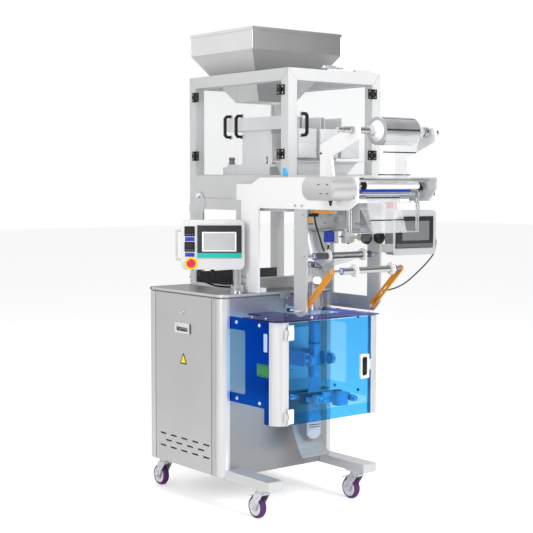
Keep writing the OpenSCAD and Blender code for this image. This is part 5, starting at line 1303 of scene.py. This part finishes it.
# A bright sheet a hair in front of the chute's curled lower end: painted highlight on the lip
lip = np.array([(-98, 310), (-110, 285), (-124, 258), (-137, 240), (-149, 224)], float) + (-1.4, 0.8)
lipGrid = np.stack([np.column_stack([np.full(len(lip), x), lip]) for x in np.linspace(345, 495, 13)], 1)
fixed("chute_lip_highlight", [sheetPiece(lipGrid, 0.8)], brightSteelAndHighlight, "cabinet_steel")
fixed("tube_clamp_bolts", [screwHead((tubeX + s * 34, tubeY - 10, z), toFront, 4, 3.6) for s in (-1, 1)
        for z in (907, 933)] + [screwHead((x, -10, z), toFront, 4.2, 3.6) for x in (364, 466)
        for z in (903, 938)], zinc, "polished")
print("guard dressed")

# Stage, light
floorMaterial = bpy.data.materials.new("paleFloor")
floorMaterial.use_nodes = True
floorTree = floorMaterial.node_tree
floorShader = floorTree.nodes["Principled BSDF"]
floorShader.inputs["Base Color"].default_value = (0.86, 0.86, 0.86, 1)
floorShader.inputs["Roughness"].default_value = 0.9
floorShader.inputs["Specular IOR Level"].default_value = 0.0
floorShader.inputs["Emission Color"].default_value = (1, 1, 1, 1)
floorSeen = addNode(floorTree, "ShaderNodeLightPath")
# Seen straight, the floor adds its own light, so it reads white and still keeps the machine's shadow
floorTree.links.new(mathNode(floorTree, "MULTIPLY",
        mathNode(floorTree, "MAXIMUM", floorSeen.outputs["Is Camera Ray"],
        floorSeen.outputs["Is Transmission Ray"]), 0.42), floorShader.inputs["Emission Strength"])
floorMesh = bpy.data.meshes.new("floor")
floorMesh.from_pydata([(-30, -30, 0), (30, -30, 0), (30, 30, 0), (-30, 30, 0)], [], [(0, 1, 2, 3)])
floorMesh.materials.append(floorMaterial)
floor = bpy.data.objects.new("floor", floorMesh)
bpy.context.scene.collection.objects.link(floor)

world = bpy.data.worlds.new("studio")
bpy.context.scene.world = world
world.use_nodes = True
sky = world.node_tree
background = sky.nodes["Background"]
background.inputs["Color"].default_value = (1, 1, 1, 1)
background.inputs["Strength"].default_value = 0.60
seen = addNode(sky, "ShaderNodeBackground")
seen.inputs["Color"].default_value = (1, 1, 1, 1)
mirrored = addNode(sky, "ShaderNodeBackground")
mirrored.inputs["Color"].default_value = (1, 1, 1, 1)
ray = addNode(sky, "ShaderNodeLightPath")
way = addNode(sky, "ShaderNodeTexCoord")
# What the steel mirrors is bright behind the left side and dim in front of the right one, as in a studio with a card
card = addNode(sky, "ShaderNodeVectorMath", operation="DOT_PRODUCT")
card.inputs[1].default_value = (-0.62, 0.78, 0.25)
sky.links.new(way.outputs["Generated"], card.inputs[0])
sky.links.new(mathNode(sky, "ADD", mathNode(sky, "MULTIPLY", card.outputs["Value"], 0.50), 0.66),
    mirrored.inputs["Strength"])
pickMirror = addNode(sky, "ShaderNodeMixShader")
pick = addNode(sky, "ShaderNodeMixShader")
sky.links.new(ray.outputs["Is Glossy Ray"], pickMirror.inputs[0])
sky.links.new(background.outputs[0], pickMirror.inputs[1])
sky.links.new(mirrored.outputs[0], pickMirror.inputs[2])
sky.links.new(mathNode(sky, "MAXIMUM", ray.outputs["Is Camera Ray"], ray.outputs["Is Transmission Ray"]),
    pick.inputs[0])
sky.links.new(pickMirror.outputs[0], pick.inputs[1])
sky.links.new(seen.outputs[0], pick.inputs[2])
sky.links.new(pick.outputs[0], sky.nodes["World Output"].inputs[0])


# Large soft lamp that looks at the machine's middle
def lamp(name, eye, size, power):
    data = bpy.data.lights.new(name, "AREA")
    data.shape, data.size, data.size_y, data.energy = "RECTANGLE", size[0], size[1], power
    light = bpy.data.objects.new(name, data)
    bpy.context.scene.collection.objects.link(light)
    light.location = eye
    aim = np.array([0, 0, 1.1]) - np.array(eye)
    light.rotation_euler = Euler((math.atan2(math.hypot(aim[0], aim[1]), -aim[2]), 0,
            math.atan2(aim[1], aim[0]) - math.pi / 2))


lamp("keyLamp", (0.2, -4.6, 3.2), (2.4, 2.4), 200)
lamp("leftLamp", (-4.0, -1.2, 2.4), (1.6, 3.0), 62)
lamp("topLamp", (0.3, 0.2, 5.0), (3.0, 3.0), 60)
bpy.context.scene.view_settings.view_transform = "Standard"
print("studio lit")
